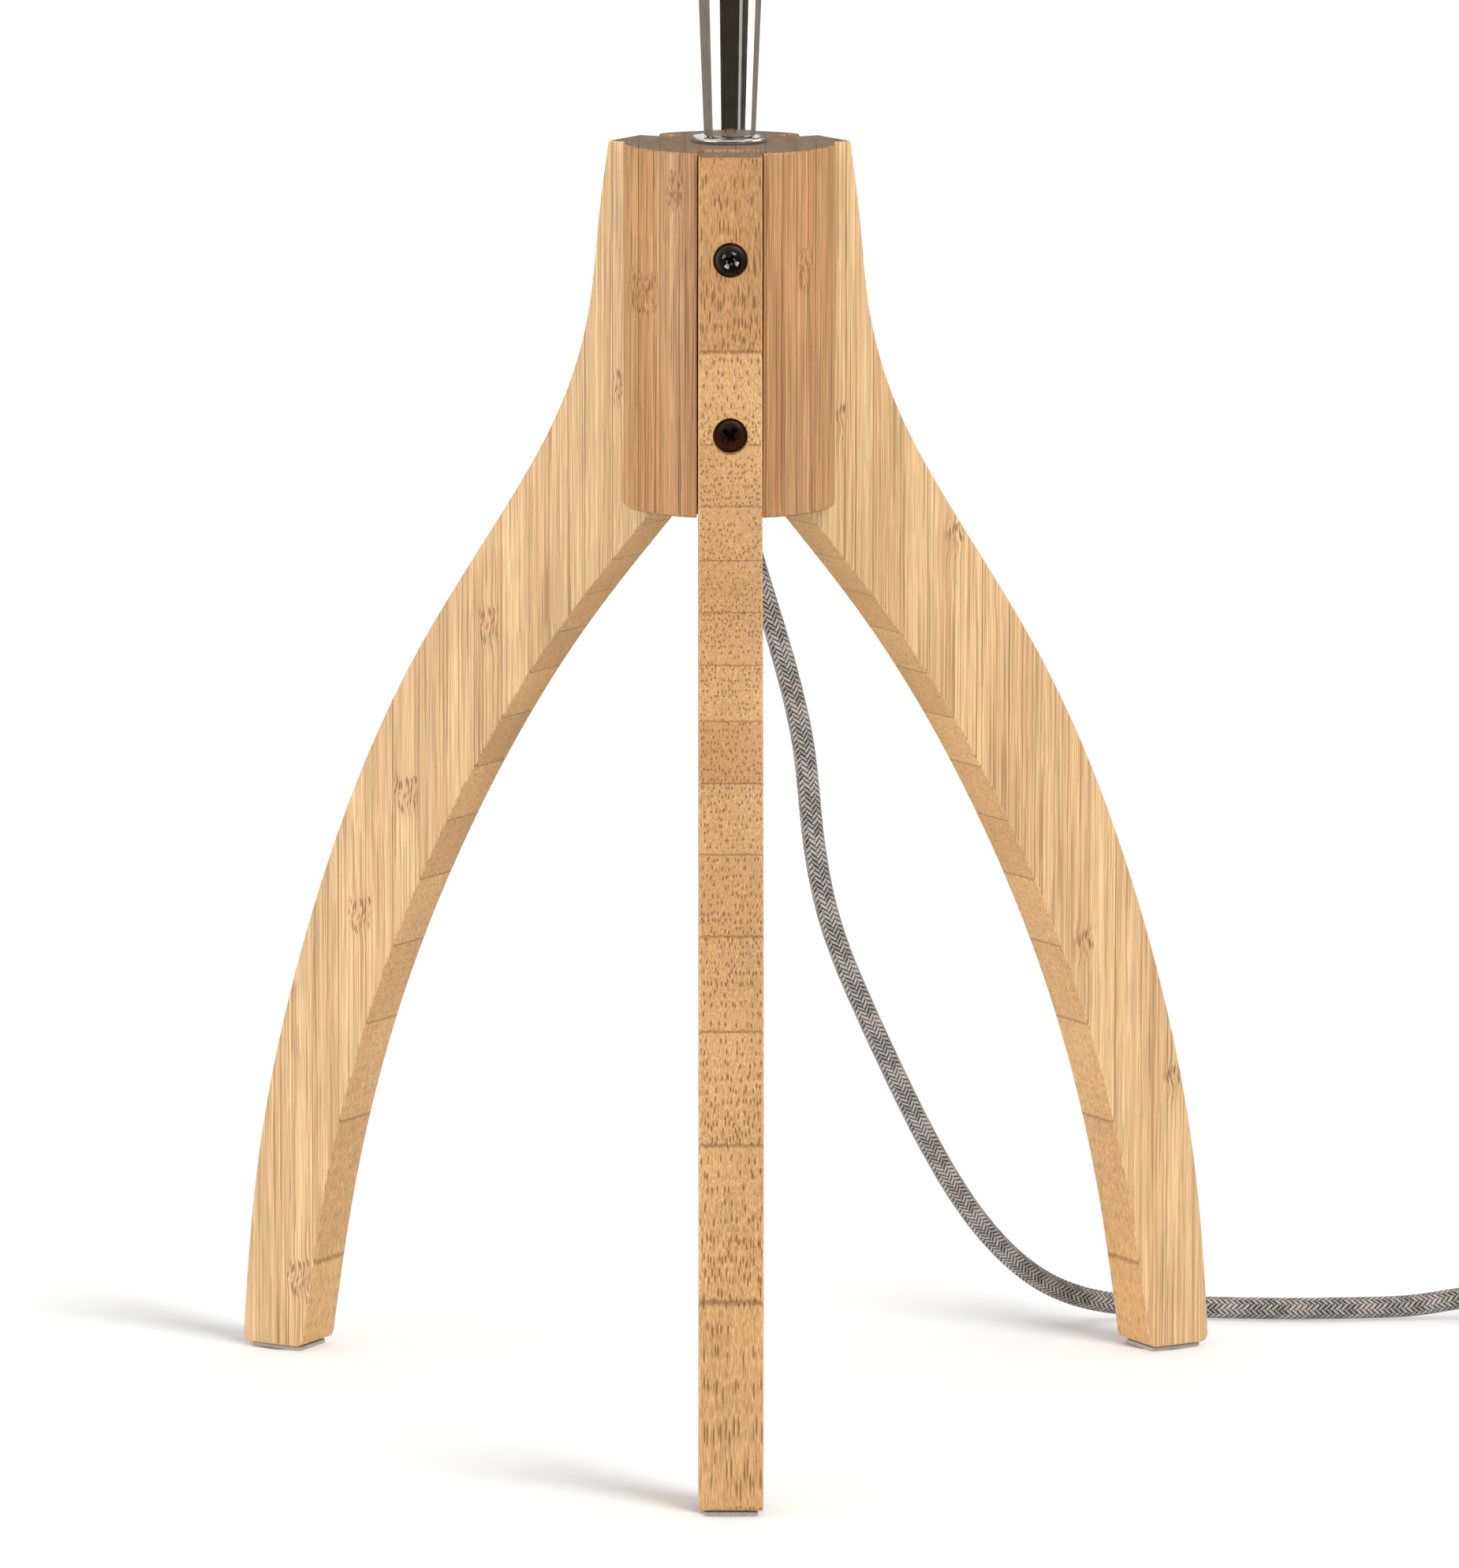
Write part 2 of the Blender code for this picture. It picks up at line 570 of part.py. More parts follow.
def make_shade():
    """Drum shade: laminated skin, top and bottom rings, and the carrier ring with its three arms."""
    top = SHADE_BOTTOM_Z + SHADE_HEIGHT
    turned("shade_skin", [
        (SHADE_TOP_R - SHADE_SKIN, top), (SHADE_TOP_R, top), (SHADE_BOTTOM_R, SHADE_BOTTOM_Z),
        (SHADE_BOTTOM_R - SHADE_SKIN, SHADE_BOTTOM_Z),
    ], LINEN, steps=ROUND, ring=True)
    wire_ring("shade_top_ring", top - SHADE_RING_INSET)

    seat = SHOULDER_Z + GAP
    carrier = turned("shade_carrier", [
        (CARRIER_HOLE_R, seat + CARRIER_T), (CARRIER_R, seat + CARRIER_T), (CARRIER_R, seat),
        (CARRIER_HOLE_R, seat),
    ], ZINC, steps=32, ring=True)
    ring_z = SHADE_BOTTOM_Z + SHADE_RING_INSET
    wire_ring("shade_bottom_ring", ring_z)
    arm_end = shade_radius(ring_z) - SHADE_SKIN - 2.0 * SHADE_WIRE_R - SHADE_RING_CLEAR - GAP
    for i in range(3):
        route = smooth_through([(0.0242, 0, seat + 0.0008), (0.0400, 0, seat + 0.0008),
                                (0.0900, 0, seat - 0.0180), (arm_end, 0, ring_z)], 0.018)
        arm = to_mesh(tube(f"carrier_arm_{i + 1}", route, SHADE_WIRE_R - 0.0001, ZINC))
        arm.matrix_world = about_axis(-30.0 + 120.0 * i)
        boolean(carrier, arm, "UNION")

    low = seat + CARRIER_T + GAP
    high = low + CLAMP_RING_T
    turned("clamp_ring", [
        (0.0196, high), (CLAMP_RING_R - 0.0009, high), (CLAMP_RING_R, high - 0.0010),
        (CLAMP_RING_R, low + 0.0010), (CLAMP_RING_R - 0.0007, low), (0.0196, low),
    ], BLACK_PLASTIC, steps=32, ring=True)


# ---------------------------------------------------------------- cord, switch and plug
def boot_end():
    """Where the boot's tail ends and the cord starts, and the direction there."""
    direction = Vector((math.sin(BOOT_TILT) * math.cos(BOOT_HEADING),
                        math.sin(BOOT_TILT) * math.sin(BOOT_HEADING), -math.cos(BOOT_TILT)))
    start = Vector((0.0, 0.0, TUBE_BOTTOM_Z - 0.0020))
    return start + direction * BOOT_TAIL, direction


def make_boot():
    """Strain relief: a collar on the threaded tube's end, with a tapered tail leaning aside."""
    top, low = TUBE_BOTTOM_Z + 0.0050, TUBE_BOTTOM_Z - 0.0036
    collar = turned("cord_boot", [
        (0.0, TUBE_BOTTOM_Z - GAP), (TUBE_HOLE_R, TUBE_BOTTOM_Z - GAP), (TUBE_HOLE_R, top),
        (BOOT_R - 0.0005, top), (BOOT_R, top - 0.0010), (BOOT_R, low + 0.0010), (BOOT_R - 0.0010, low),
        (0.0, low),
    ], GREY_PLASTIC, steps=SMALL_ROUND)
    end, direction = boot_end()
    tail = cylinder("boot_tail", CORD_R + 0.0006, BOOT_TAIL, GREY_PLASTIC, sides=SMALL_ROUND, end_radius=0.0048)
    middle = end - direction * BOOT_TAIL / 2.0
    tail.matrix_world = Matrix.Translation(middle) @ direction.to_track_quat("-Z", "Y").to_matrix().to_4x4()
    boolean(collar, tail, "UNION")


def make_cord():
    """The cord's three stretches, and the coil that its spare length is wound into."""
    end, direction = boot_end()
    start = end + direction * GAP
    switch_in = SWITCH_CENTRE.x - SWITCH_SIZE.x / 2.0 - GAP
    route = [
        start, start + direction * 0.006,
        (0.0142, 0.0062, 0.2204), (0.0180, 0.0104, 0.2061), (0.0217, 0.0150, 0.1881), (0.0244, 0.0190, 0.1630),
        (0.0299, 0.0258, 0.1345), (0.0382, 0.0350, 0.1116), (0.0497, 0.0485, 0.0845), (0.0618, 0.0635, 0.0584),
        (0.0742, 0.0785, 0.0367), (0.0868, 0.0924, 0.0208), (0.0992, 0.1036, 0.0108), (0.1122, 0.1103, 0.0056),
        (0.1262, 0.1130, CORD_R + 0.0005), (0.1420, 0.1126, CORD_R + 0.0002),
        (0.1650, 0.1105, CORD_R + 0.0002), (0.1900, 0.1113, CORD_R + 0.0003),
        (0.2090, 0.1135, 0.0042), (switch_in - 0.006, SWITCH_CENTRE.y, CORD_AT_SWITCH_Z),
        (switch_in, SWITCH_CENTRE.y, CORD_AT_SWITCH_Z),
    ]
    tube("cord_run", smooth_through(route, 0.0140), CORD_R, GREY_CLOTH)

    switch_out = SWITCH_CENTRE.x + SWITCH_SIZE.x / 2.0 + GAP
    coil_in = COIL_CENTRE.x - 0.0231
    link = smooth_through([
        (switch_out, SWITCH_CENTRE.y, CORD_AT_SWITCH_Z), (switch_out + 0.006, SWITCH_CENTRE.y, 0.0057),
        (coil_in - 0.006, SWITCH_CENTRE.y, 0.0042), (coil_in, SWITCH_CENTRE.y, CORD_R + 0.0004),
    ], 0.005)
    tube("cord_link", link, CORD_R, GREY_CLOTH)

    inner, outer = COIL_R - COIL_HALF_WIDTH, COIL_R + COIL_HALF_WIDTH
    coil = turned("cord_coil", [
        (inner + 0.0020, COIL_HEIGHT), (outer - 0.0020, COIL_HEIGHT), (outer, COIL_HEIGHT - 0.0020),
        (outer, 0.0020), (outer - 0.0020, 0.0), (inner + 0.0020, 0.0), (inner, 0.0020),
        (inner, COIL_HEIGHT - 0.0020),
    ], GREY_CLOTH, steps=40, ring=True)
    coil.location = COIL_CENTRE

    clear = Vector((2.0 * COIL_HALF_WIDTH + 0.0018, TIE_WIDTH, COIL_HEIGHT + GAP))
    tie_at = COIL_CENTRE + Vector((COIL_R - 0.0002, 0.0, TIE_THICKNESS + clear.z / 2.0))
    notch = block("tie_notch", (0.030, TIE_WIDTH + 0.0010, 0.0026), None, COIL_CENTRE + Vector((COIL_R, 0, 0)))
    boolean(coil, notch)
    strap = clear + Vector((2.0 * TIE_THICKNESS, 0.0, 2.0 * TIE_THICKNESS))
    tie = block("coil_tie", strap, BLACK_PLASTIC, tie_at, 0.0006, 1)
    boolean(tie, block("tie_space", (clear.x, 2.0 * TIE_WIDTH, clear.z), None, tie_at))

    plug_in = PLUG_BACK_X + 0.75 * PLUG_COLLAR_LENGTH + GAP
    tail = smooth_through([
        (coil_in, PLUG_Y, 0.0139), (0.3050, PLUG_Y, 0.0107), (0.2960, PLUG_Y, 0.0078),
        (plug_in + 0.0030, PLUG_Y, PLUG_BODY.z / 2.0), (plug_in, PLUG_Y, PLUG_BODY.z / 2.0),
    ], 0.005)
    tube("cord_tail", tail, CORD_R, GREY_CLOTH)


def make_switch():
    """In-line rocker switch: two housing halves, their screws, the rocker and its contact strip."""
    length, width, height = SWITCH_SIZE
    upper_low = SWITCH_SPLIT_Z + GAP
    lower = block("switch_lower", (length, width, SWITCH_SPLIT_Z), GREY_PLASTIC,
                  SWITCH_CENTRE + Vector((0, 0, SWITCH_SPLIT_Z / 2.0)), 0.0020)
    upper = block("switch_upper", (length, width, height - upper_low), GREY_PLASTIC,
                  SWITCH_CENTRE + Vector((0, 0, (height + upper_low) / 2.0)), 0.0022)
    boolean(upper, block("rocker_well", ROCKER_WELL, None, SWITCH_CENTRE + Vector((0, 0, 0.0250))))
    boolean(lower, block("contact_chamber", (0.0300, 0.0160, 0.0056), None,
                         SWITCH_CENTRE + Vector((0, 0, SWITCH_SPLIT_Z))))
    block("switch_contact", (0.0200, 0.0060, 0.0006), BRASS,
          SWITCH_CENTRE + Vector((0, 0, SWITCH_SPLIT_Z - 0.0022)))

    hinge = SWITCH_CENTRE + Vector((0, 0, height - 0.0024))
    socket = cylinder("pivot_socket", ROCKER_PIVOT_R + GAP, 0.0174, None, sides=12)
    socket.matrix_world = Matrix.Translation(hinge) @ Matrix.Rotation(math.radians(90.0), 4, "X")
    boolean(upper, socket)
    rocker = plate("switch_rocker", [
        (-0.0112, 0.0024), (-0.0100, -0.0030), (-0.0035, -0.0050), (0.0035, -0.0050), (0.0100, -0.0030),
        (0.0112, 0.0024), (0.0, 0.0012),
    ], 0.0132, BLACK_PLASTIC)
    bevel(rocker, 0.0004, 1)
    pivot = cylinder("rocker_pivot", ROCKER_PIVOT_R, 0.0166, BLACK_PLASTIC, sides=12)
    pivot.matrix_world = Matrix.Translation(hinge) @ Matrix.Rotation(math.radians(90.0), 4, "X")
    rocker.matrix_world = (Matrix.Translation(hinge) @ Matrix.Rotation(ROCKER_TILT, 4, "Y")
                           @ Matrix.Rotation(math.radians(90.0), 4, "X"))
    boolean(rocker, pivot, "UNION")

    for number, side in ((1, -1.0), (2, 1.0)):
        at = SWITCH_CENTRE + Vector((side * 0.0255, 0, 0))
        hole = turned(f"switch_screw_hole_{number}", [
            (0.0, 0.0120), (0.0014, 0.0120), (0.0014, 0.0027), (0.0028, 0.0027), (0.0028, -0.001),
            (0.0, -0.001),
        ], None, steps=12)
        hole.location = at
        boolean(lower, hole)
        upper_hole = cylinder(f"switch_screw_end_{number}", 0.0014, 0.0080, None, sides=12)
        upper_hole.location = at + Vector((0, 0, 0.0080))
        boolean(upper, upper_hole)
        screw = turned(f"switch_screw_{number}", [
            (0.0, 0.0115), (0.0011, 0.0105), (0.0011, 0.0024), (0.0024, 0.0024), (0.0024, 0.0008),
            (0.0, 0.0008),
        ], ZINC, steps=12)
        screw.location = at


def make_plug():
    """Flat two-pin plug: moulded body with its cord collar, and the pins in it."""
    length, width, height = PLUG_BODY
    centre = Vector((PLUG_BACK_X, PLUG_Y, height / 2.0))
    half = width / 2.0
    body = plate("plug_body", [
        (0.0, -0.0070), (0.0, 0.0070), (-0.0120, half), (-0.0270, half), (-length, half - 0.0030),
        (-length, -half + 0.0030), (-0.0270, -half), (-0.0120, -half),
    ], height, GREY_PLASTIC)
    body.location = centre
    bevel(body, 0.0022, 2, angle=60.0)
    collar = cylinder("plug_collar", PLUG_COLLAR_R, PLUG_COLLAR_LENGTH, GREY_PLASTIC, sides=20,
                      end_radius=CORD_R + 0.0006)
    collar_at = centre + Vector((PLUG_COLLAR_LENGTH / 4.0, 0, 0))
    collar.matrix_world = Matrix.Translation(collar_at) @ Matrix.Rotation(math.radians(90.0), 4, "Y")
    boolean(body, collar, "UNION")
    for number, side in ((1, -1.0), (2, 1.0)):
        across = Matrix.Rotation(math.radians(90.0), 4, "Y")
        front = centre + Vector((-length, side * PLUG_PIN_SPACING / 2.0, 0))
        hole = cylinder(f"plug_pin_hole_{number}", PLUG_PIN_R + GAP, 0.0160, None, sides=16)
        hole.matrix_world = Matrix.Translation(front) @ across
        boolean(body, hole)
        pin = cylinder(f"plug_pin_{number}", PLUG_PIN_R, PLUG_PIN_LENGTH + PLUG_PIN_ROOT, BRASS, sides=16)
        pin.matrix_world = Matrix.Translation(
            front + Vector(((PLUG_PIN_ROOT - PLUG_PIN_LENGTH) / 2.0, 0, 0))) @ across
        bevel(pin, 0.0006, 1)


make_hub()
make_legs()
make_leg_screws()
make_foot_pads()
make_stem()
make_lampholder()
make_wiring()
make_bulb()
make_shade()
make_boot()
make_cord()
make_switch()
make_plug()
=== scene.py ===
"""Looks of the tripod lamp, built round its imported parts. Lengths are in metres unless a line says mm."""
import json
import math

import bmesh
import bpy
import numpy as np
from mathutils import Matrix, Vector

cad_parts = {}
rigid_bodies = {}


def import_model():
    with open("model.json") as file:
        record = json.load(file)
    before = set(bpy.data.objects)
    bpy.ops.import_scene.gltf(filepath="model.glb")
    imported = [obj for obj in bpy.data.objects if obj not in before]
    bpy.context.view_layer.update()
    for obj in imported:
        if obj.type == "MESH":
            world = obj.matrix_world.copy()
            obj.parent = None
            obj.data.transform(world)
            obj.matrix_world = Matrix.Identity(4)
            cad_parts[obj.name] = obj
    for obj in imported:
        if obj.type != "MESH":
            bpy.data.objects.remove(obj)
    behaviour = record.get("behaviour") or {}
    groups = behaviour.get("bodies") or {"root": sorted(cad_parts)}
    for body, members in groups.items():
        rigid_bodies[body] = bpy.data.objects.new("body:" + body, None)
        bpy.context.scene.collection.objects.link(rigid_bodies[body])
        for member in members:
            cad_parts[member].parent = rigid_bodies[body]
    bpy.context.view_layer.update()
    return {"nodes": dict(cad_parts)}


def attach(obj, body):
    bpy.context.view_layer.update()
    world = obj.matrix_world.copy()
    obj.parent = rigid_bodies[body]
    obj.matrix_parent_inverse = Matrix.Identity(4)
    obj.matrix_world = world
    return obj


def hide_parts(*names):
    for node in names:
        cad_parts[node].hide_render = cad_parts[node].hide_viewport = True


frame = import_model()
SCENE = bpy.context.scene

# ---------------------------------------------------------------- dimensions, repeated from the CAD (metres)
GAP = 0.0003
LEG_AZIMUTHS = {"front": -90.0, "right": 30.0, "left": 150.0}
LEG_THICKNESS = 0.018
LEG_EDGE_ROUND = 0.0006
LEG_TOP_Z = 0.3642
LEG_ROOT_R = 0.0213
PAD_THICKNESS = 0.0012
FOOT_Z = PAD_THICKNESS + GAP
FOOT_OUTER_R = 0.1594
FOOT_INNER_R = 0.1388
FOOT_MIDDLE_R = (FOOT_OUTER_R + FOOT_INNER_R) / 2.0
HUB_R = 0.0302
HUB_BOTTOM_Z = 0.2607
HUB_TOP_Z = 0.3650
SLOT_WIDTH = 0.0187
SLOT_FLOOR_R = 0.0210
RECESS_R = 0.013
RECESS_TOP_Z = 0.2821
SCREW_ROWS = {"upper": (0.3355, 0.0387), "lower": (0.2870, 0.0484)}
SCREW_HEAD_R = 0.0046
SCREW_HEAD_H = 0.0030
SCREW_HEAD_PLAY = 0.00035
TUBE_HOLE_R = 0.0053
TUBE_BOTTOM_Z = 0.2703
FOOT_CORNER_R = 0.0022
STRIP_WIDTH = 0.00925            # bamboo strips in the leg boards
STRIP_START = 0.04258
CORD_R = 0.0032
BOOT_TILT = math.radians(17.0)
BOOT_HEADING = math.radians(15.0)
BOOT_TAIL = 0.0225
SWITCH_CENTRE = Vector((0.2620, 0.1140, 0.0))
SWITCH_SIZE = Vector((0.0640, 0.0260, 0.0170))
CORD_AT_SWITCH_Z = 0.0062
COIL_CENTRE = Vector((0.3380, 0.0758, 0.0))
COIL_OUTER_R = 0.0382
COIL_INNER_R = 0.0318
COIL_LAYER_Z = (0.0034, 0.0099, 0.0163)
PLUG_COLLAR_X = 0.2883
PLUG_CENTRE_Z = 0.00685


# ---------------------------------------------------------------- camera
def make_camera():
    """Camera at the photograph's angle: long lens, about nine degrees above the level."""
    distance, height = 3.4459, 0.7383
    pitch, heading, aim, roll = 0.1607, 0.0065, 0.00658, 0.0019
    data = bpy.data.cameras.new("camera")
    data.lens = 279.23
    data.sensor_width = 36.0
    data.clip_start, data.clip_end = 0.1, 100.0
    camera = bpy.data.objects.new("camera", data)
    camera.location = (-distance * math.sin(heading), -distance * math.cos(heading), height)
    turn = Matrix.Rotation(-aim, 4, "Z") @ Matrix.Rotation(math.pi / 2.0 - pitch, 4, "X")
    camera.rotation_euler = (turn @ Matrix.Rotation(roll, 4, "Z")).to_euler()
    SCENE.collection.objects.link(camera)
    SCENE.camera = camera


make_camera()


# ---------------------------------------------------------------- curves
def smooth_through(points, spacing):
    """Points about `spacing` apart along a natural cubic spline through `points`."""
    known = np.array([tuple(p) for p in points], float)
    steps = np.linalg.norm(np.diff(known, axis=0), axis=1)
    at = np.concatenate([[0.0], np.cumsum(steps)])
    count = len(known)
    system = np.zeros((count, count))
    right = np.zeros_like(known)
    system[0, 0] = 1.0
    system[-1, -1] = 1.0
    for i in range(1, count - 1):
        system[i, i - 1] = steps[i - 1]
        system[i, i] = 2.0 * (steps[i - 1] + steps[i])
        system[i, i + 1] = steps[i]
        right[i] = 6.0 * ((known[i + 1] - known[i]) / steps[i] - (known[i] - known[i - 1]) / steps[i - 1])
    bend = np.linalg.solve(system, right)
    samples = max(2, int(round(at[-1] / spacing)) + 1)
    out = []
    for s in np.linspace(0.0, at[-1], samples):
        i = min(count - 2, max(0, int(np.searchsorted(at, s, side="right")) - 1))
        a, b, h = at[i + 1] - s, s - at[i], steps[i]
        out.append(bend[i] * a ** 3 / (6 * h) + bend[i + 1] * b ** 3 / (6 * h)
                   + (known[i] / h - bend[i] * h / 6) * a + (known[i + 1] / h - bend[i + 1] * h / 6) * b)
    return np.array(out)


def even_spacing(points, spacing):
    """The same line with points an even distance apart."""
    points = np.asarray(points, float)
    at = np.concatenate([[0.0], np.cumsum(np.linalg.norm(np.diff(points, axis=0), axis=1))])
    wanted = np.linspace(0.0, at[-1], int(round(at[-1] / spacing)) + 1)
    return np.stack([np.interp(wanted, at, points[:, i]) for i in range(3)], axis=1)


def smooth_step(value, start, end):
    share = min(1.0, max(0.0, (value - start) / (end - start)))
    return share * share * (3.0 - 2.0 * share)


def boot_end():
    """Where the boot's tail ends and the cord starts, and the direction there."""
    direction = Vector((math.sin(BOOT_TILT) * math.cos(BOOT_HEADING),
                        math.sin(BOOT_TILT) * math.sin(BOOT_HEADING), -math.cos(BOOT_TILT)))
    start = Vector((0.0, 0.0, TUBE_BOTTOM_Z - 0.0020))
    return start + direction * BOOT_TAIL, direction


def cord_line():
    """The cord's centre line: hub to floor, through the switch, round the coil, to the plug."""
    end, direction = boot_end()
    start = end + direction * GAP
    switch_in = SWITCH_CENTRE.x - SWITCH_SIZE.x / 2.0 - GAP
    switch_out = SWITCH_CENTRE.x + SWITCH_SIZE.x / 2.0 + GAP
    along = SWITCH_CENTRE.y
    run = smooth_through([
        start, start + direction * 0.006,
        (0.0142, 0.0062, 0.2204), (0.0180, 0.0104, 0.2061), (0.0217, 0.0150, 0.1881),
        (0.0244, 0.0190, 0.1630), (0.0299, 0.0258, 0.1345), (0.0382, 0.0350, 0.1116),
        (0.0497, 0.0485, 0.0845), (0.0618, 0.0635, 0.0584), (0.0742, 0.0785, 0.0367),
        (0.0868, 0.0924, 0.0208), (0.0992, 0.1036, 0.0108), (0.1122, 0.1103, 0.0056),
        (0.1262, 0.1130, CORD_R + 0.0005), (0.1420, 0.1126, CORD_R + 0.0002),
        (0.1650, 0.1105, CORD_R + 0.0002), (0.1900, 0.1113, CORD_R + 0.0003), (0.2090, 0.1135, 0.0042),
        (switch_in - 0.006, along, CORD_AT_SWITCH_Z), (switch_in, along, CORD_AT_SWITCH_Z),
    ], 0.002)
    link = smooth_through([
        (switch_out, along, CORD_AT_SWITCH_Z), (switch_out + 0.006, along, 0.0057),
        (COIL_CENTRE.x - 0.0291, along, 0.0042), (COIL_CENTRE.x - 0.0231, along, CORD_R + 0.0004),
        (COIL_CENTRE.x - 0.0100, along, COIL_LAYER_Z[0]), (COIL_CENTRE.x - 0.001, along, COIL_LAYER_Z[0]),
    ], 0.002)
    outer, inner = COIL_OUTER_R, COIL_INNER_R
    tracks = [(outer, 0), (inner, 0), (inner, 1), (outer, 1), (outer, 2)]
    turns = len(tracks) - 0.5
    shift, lead = 0.26, 0.060        # turns that a change of track takes, and starts before the one under it
    per_turn, per_tail = 72, 24
    wound = []
    for i in range(int(turns * per_turn) + 1):
        turn = i / per_turn
        radius, height = tracks[0][0], COIL_LAYER_Z[0]
        for number in range(1, len(tracks)):
            moved = number - lead * (number - 1)
            share = smooth_step(turn, moved - shift, moved)
            radius += (tracks[number][0] - tracks[number - 1][0]) * share
            height += (COIL_LAYER_Z[tracks[number][1]] - COIL_LAYER_Z[tracks[number - 1][1]]) * share
        angle = math.pi / 2.0 - math.tau * turn
        wound.append((COIL_CENTRE.x + radius * math.cos(angle),
                      COIL_CENTRE.y + radius * math.sin(angle), height))
    last = wound[-1]
    tail = []
    for i in range(1, per_tail + 1):
        x = last[0] + (PLUG_COLLAR_X - last[0]) * i / per_tail
        drop = smooth_step(i / per_tail, 0.20, 1.0)
        tail.append((x, last[1], last[2] + (PLUG_CENTRE_Z - last[2]) * drop))
    return even_spacing(np.vstack([run, link, wound, tail]), 0.0015)


# ---------------------------------------------------------------- mesh helpers
def link_mesh(name, mesh):
    obj = bpy.data.objects.new(name, mesh)
    SCENE.collection.objects.link(obj)
    return obj


def shade(obj, degrees=35.0):
    """Smooth shading with edges kept sharp where the faces turn by more than `degrees`."""
    mesh = obj.data
    mesh.polygons.foreach_set("use_smooth", [True] * len(mesh.polygons))
    mesh.set_sharp_from_angle(angle=math.radians(degrees))
    return obj


def from_faces(name, verts, faces, degrees=35.0):
    mesh = bpy.data.meshes.new(name)
    mesh.from_pydata([tuple(v) for v in verts], [], faces)
    mesh.validate()
    return shade(link_mesh(name, mesh), degrees)


def soften(profile, radius, steps=4, closed=True):
    """The outline with every corner turned into a small arc."""
    points = [Vector(p) for p in profile]
    out = []
    for i, corner in enumerate(points):
        if not closed and i in (0, len(points) - 1):
            out.append(tuple(corner))
            continue
        before, after = points[i - 1], points[(i + 1) % len(points)]
        reach = min(radius, 0.45 * (before - corner).length, 0.45 * (after - corner).length)
        a = corner + (before - corner).normalized() * reach
        b = corner + (after - corner).normalized() * reach
        for k in range(steps + 1):
            t = k / steps
            out.append(tuple(a * (1 - t) ** 2 + corner * 2 * t * (1 - t) + b * t * t))
    return out


def lathe(name, profile, steps=96, closed=True, degrees=35.0, radius_at=None):
    """Solid of revolution. The profile is (radius, height); radius_at may vary the radius with the angle."""
    verts, rings = [], []
    for radius, height in profile:
        if radius < 1e-7:
            rings.append([len(verts)])
            verts.append((0.0, 0.0, height))
            continue
        ring = []
        for k in range(steps):
            angle = math.tau * k / steps
            reach = radius_at(radius, height, angle) if radius_at else radius
            ring.append(len(verts))
            verts.append((reach * math.cos(angle), reach * math.sin(angle), height))
        rings.append(ring)
    faces = []
    pairs = list(zip(rings, rings[1:])) + ([(rings[-1], rings[0])] if closed else [])
    for low, high in pairs:
        if len(low) == 1 and len(high) == 1:
            continue
        for k in range(steps):
            n = (k + 1) % steps
            if len(low) == 1:
                faces.append((low[0], high[n], high[k]))
            elif len(high) == 1:
                faces.append((low[k], low[n], high[0]))
            else:
                faces.append((low[k], low[n], high[n], high[k]))
    obj = from_faces(name, verts, faces, degrees)
    outward(obj)
    return obj


def outward(obj):
    """Makes every face of a closed mesh look outward."""
    bm = bmesh.new()
    bm.from_mesh(obj.data)
    bmesh.ops.recalc_face_normals(bm, faces=bm.faces)
    bm.to_mesh(obj.data)
    bm.free()


def box_mesh(name, size, centre=(0.0, 0.0, 0.0)):
    bm = bmesh.new()
    bmesh.ops.create_cube(bm, size=1.0)
    for v in bm.verts:
        v.co = Vector([v.co[i] * size[i] + centre[i] for i in range(3)])
    mesh = bpy.data.meshes.new(name)
    bm.to_mesh(mesh)
    bm.free()
    return link_mesh(name, mesh)


def rectangle(length, width):
    """Corners of a rectangle about the origin, anticlockwise."""
    x, y = length / 2.0, width / 2.0
    return [(-x, -y), (x, -y), (x, y), (-x, y)]


def drill(radius, low, high, steps):
    """Cutter for a plain round hole between two heights."""
    return lathe("drill", [(0.0, high), (radius, high), (radius, low), (0.0, low)], steps=steps)


def prism(name, outline, low, high):
    """Upright prism of a plane outline between two heights."""
    count = len(outline)
    verts = [(x, y, low) for x, y in outline] + [(x, y, high) for x, y in outline]
    faces = [tuple(range(count - 1, -1, -1)), tuple(range(count, 2 * count))]
    faces += [(i, (i + 1) % count, count + (i + 1) % count, count + i) for i in range(count)]
    return from_faces(name, verts, faces)


def apply_modifiers(obj):
    """Bakes the modifiers into the mesh."""
    bpy.context.view_layer.update()
    made = bpy.data.meshes.new_from_object(obj.evaluated_get(bpy.context.evaluated_depsgraph_get()))
    obj.modifiers.clear()
    obj.data = made
    return obj


def bevel(obj, width, segments=3, degrees=40.0):
    mod = obj.modifiers.new("bevel", "BEVEL")
    mod.width = width
    mod.segments = segments
    mod.limit_method = "ANGLE"
    mod.angle_limit = math.radians(degrees)
    mod.use_clamp_overlap = True
    return apply_modifiers(obj)


def combine(obj, others, operation="DIFFERENCE"):
    """Boolean with each of the other objects, which are then removed."""
    for other in others:
        mod = obj.modifiers.new("boolean", "BOOLEAN")
        mod.operation = operation
        mod.solver = "EXACT"
        mod.object = other
        apply_modifiers(obj)
        bpy.data.objects.remove(other)
    return obj


def place(obj, matrix):
    obj.data.transform(matrix)
    return obj


def rotation(degrees, axis="Z"):
    return Matrix.Rotation(math.radians(degrees), 4, axis)


def shift_by(*shift):
    return Matrix.Translation(shift)


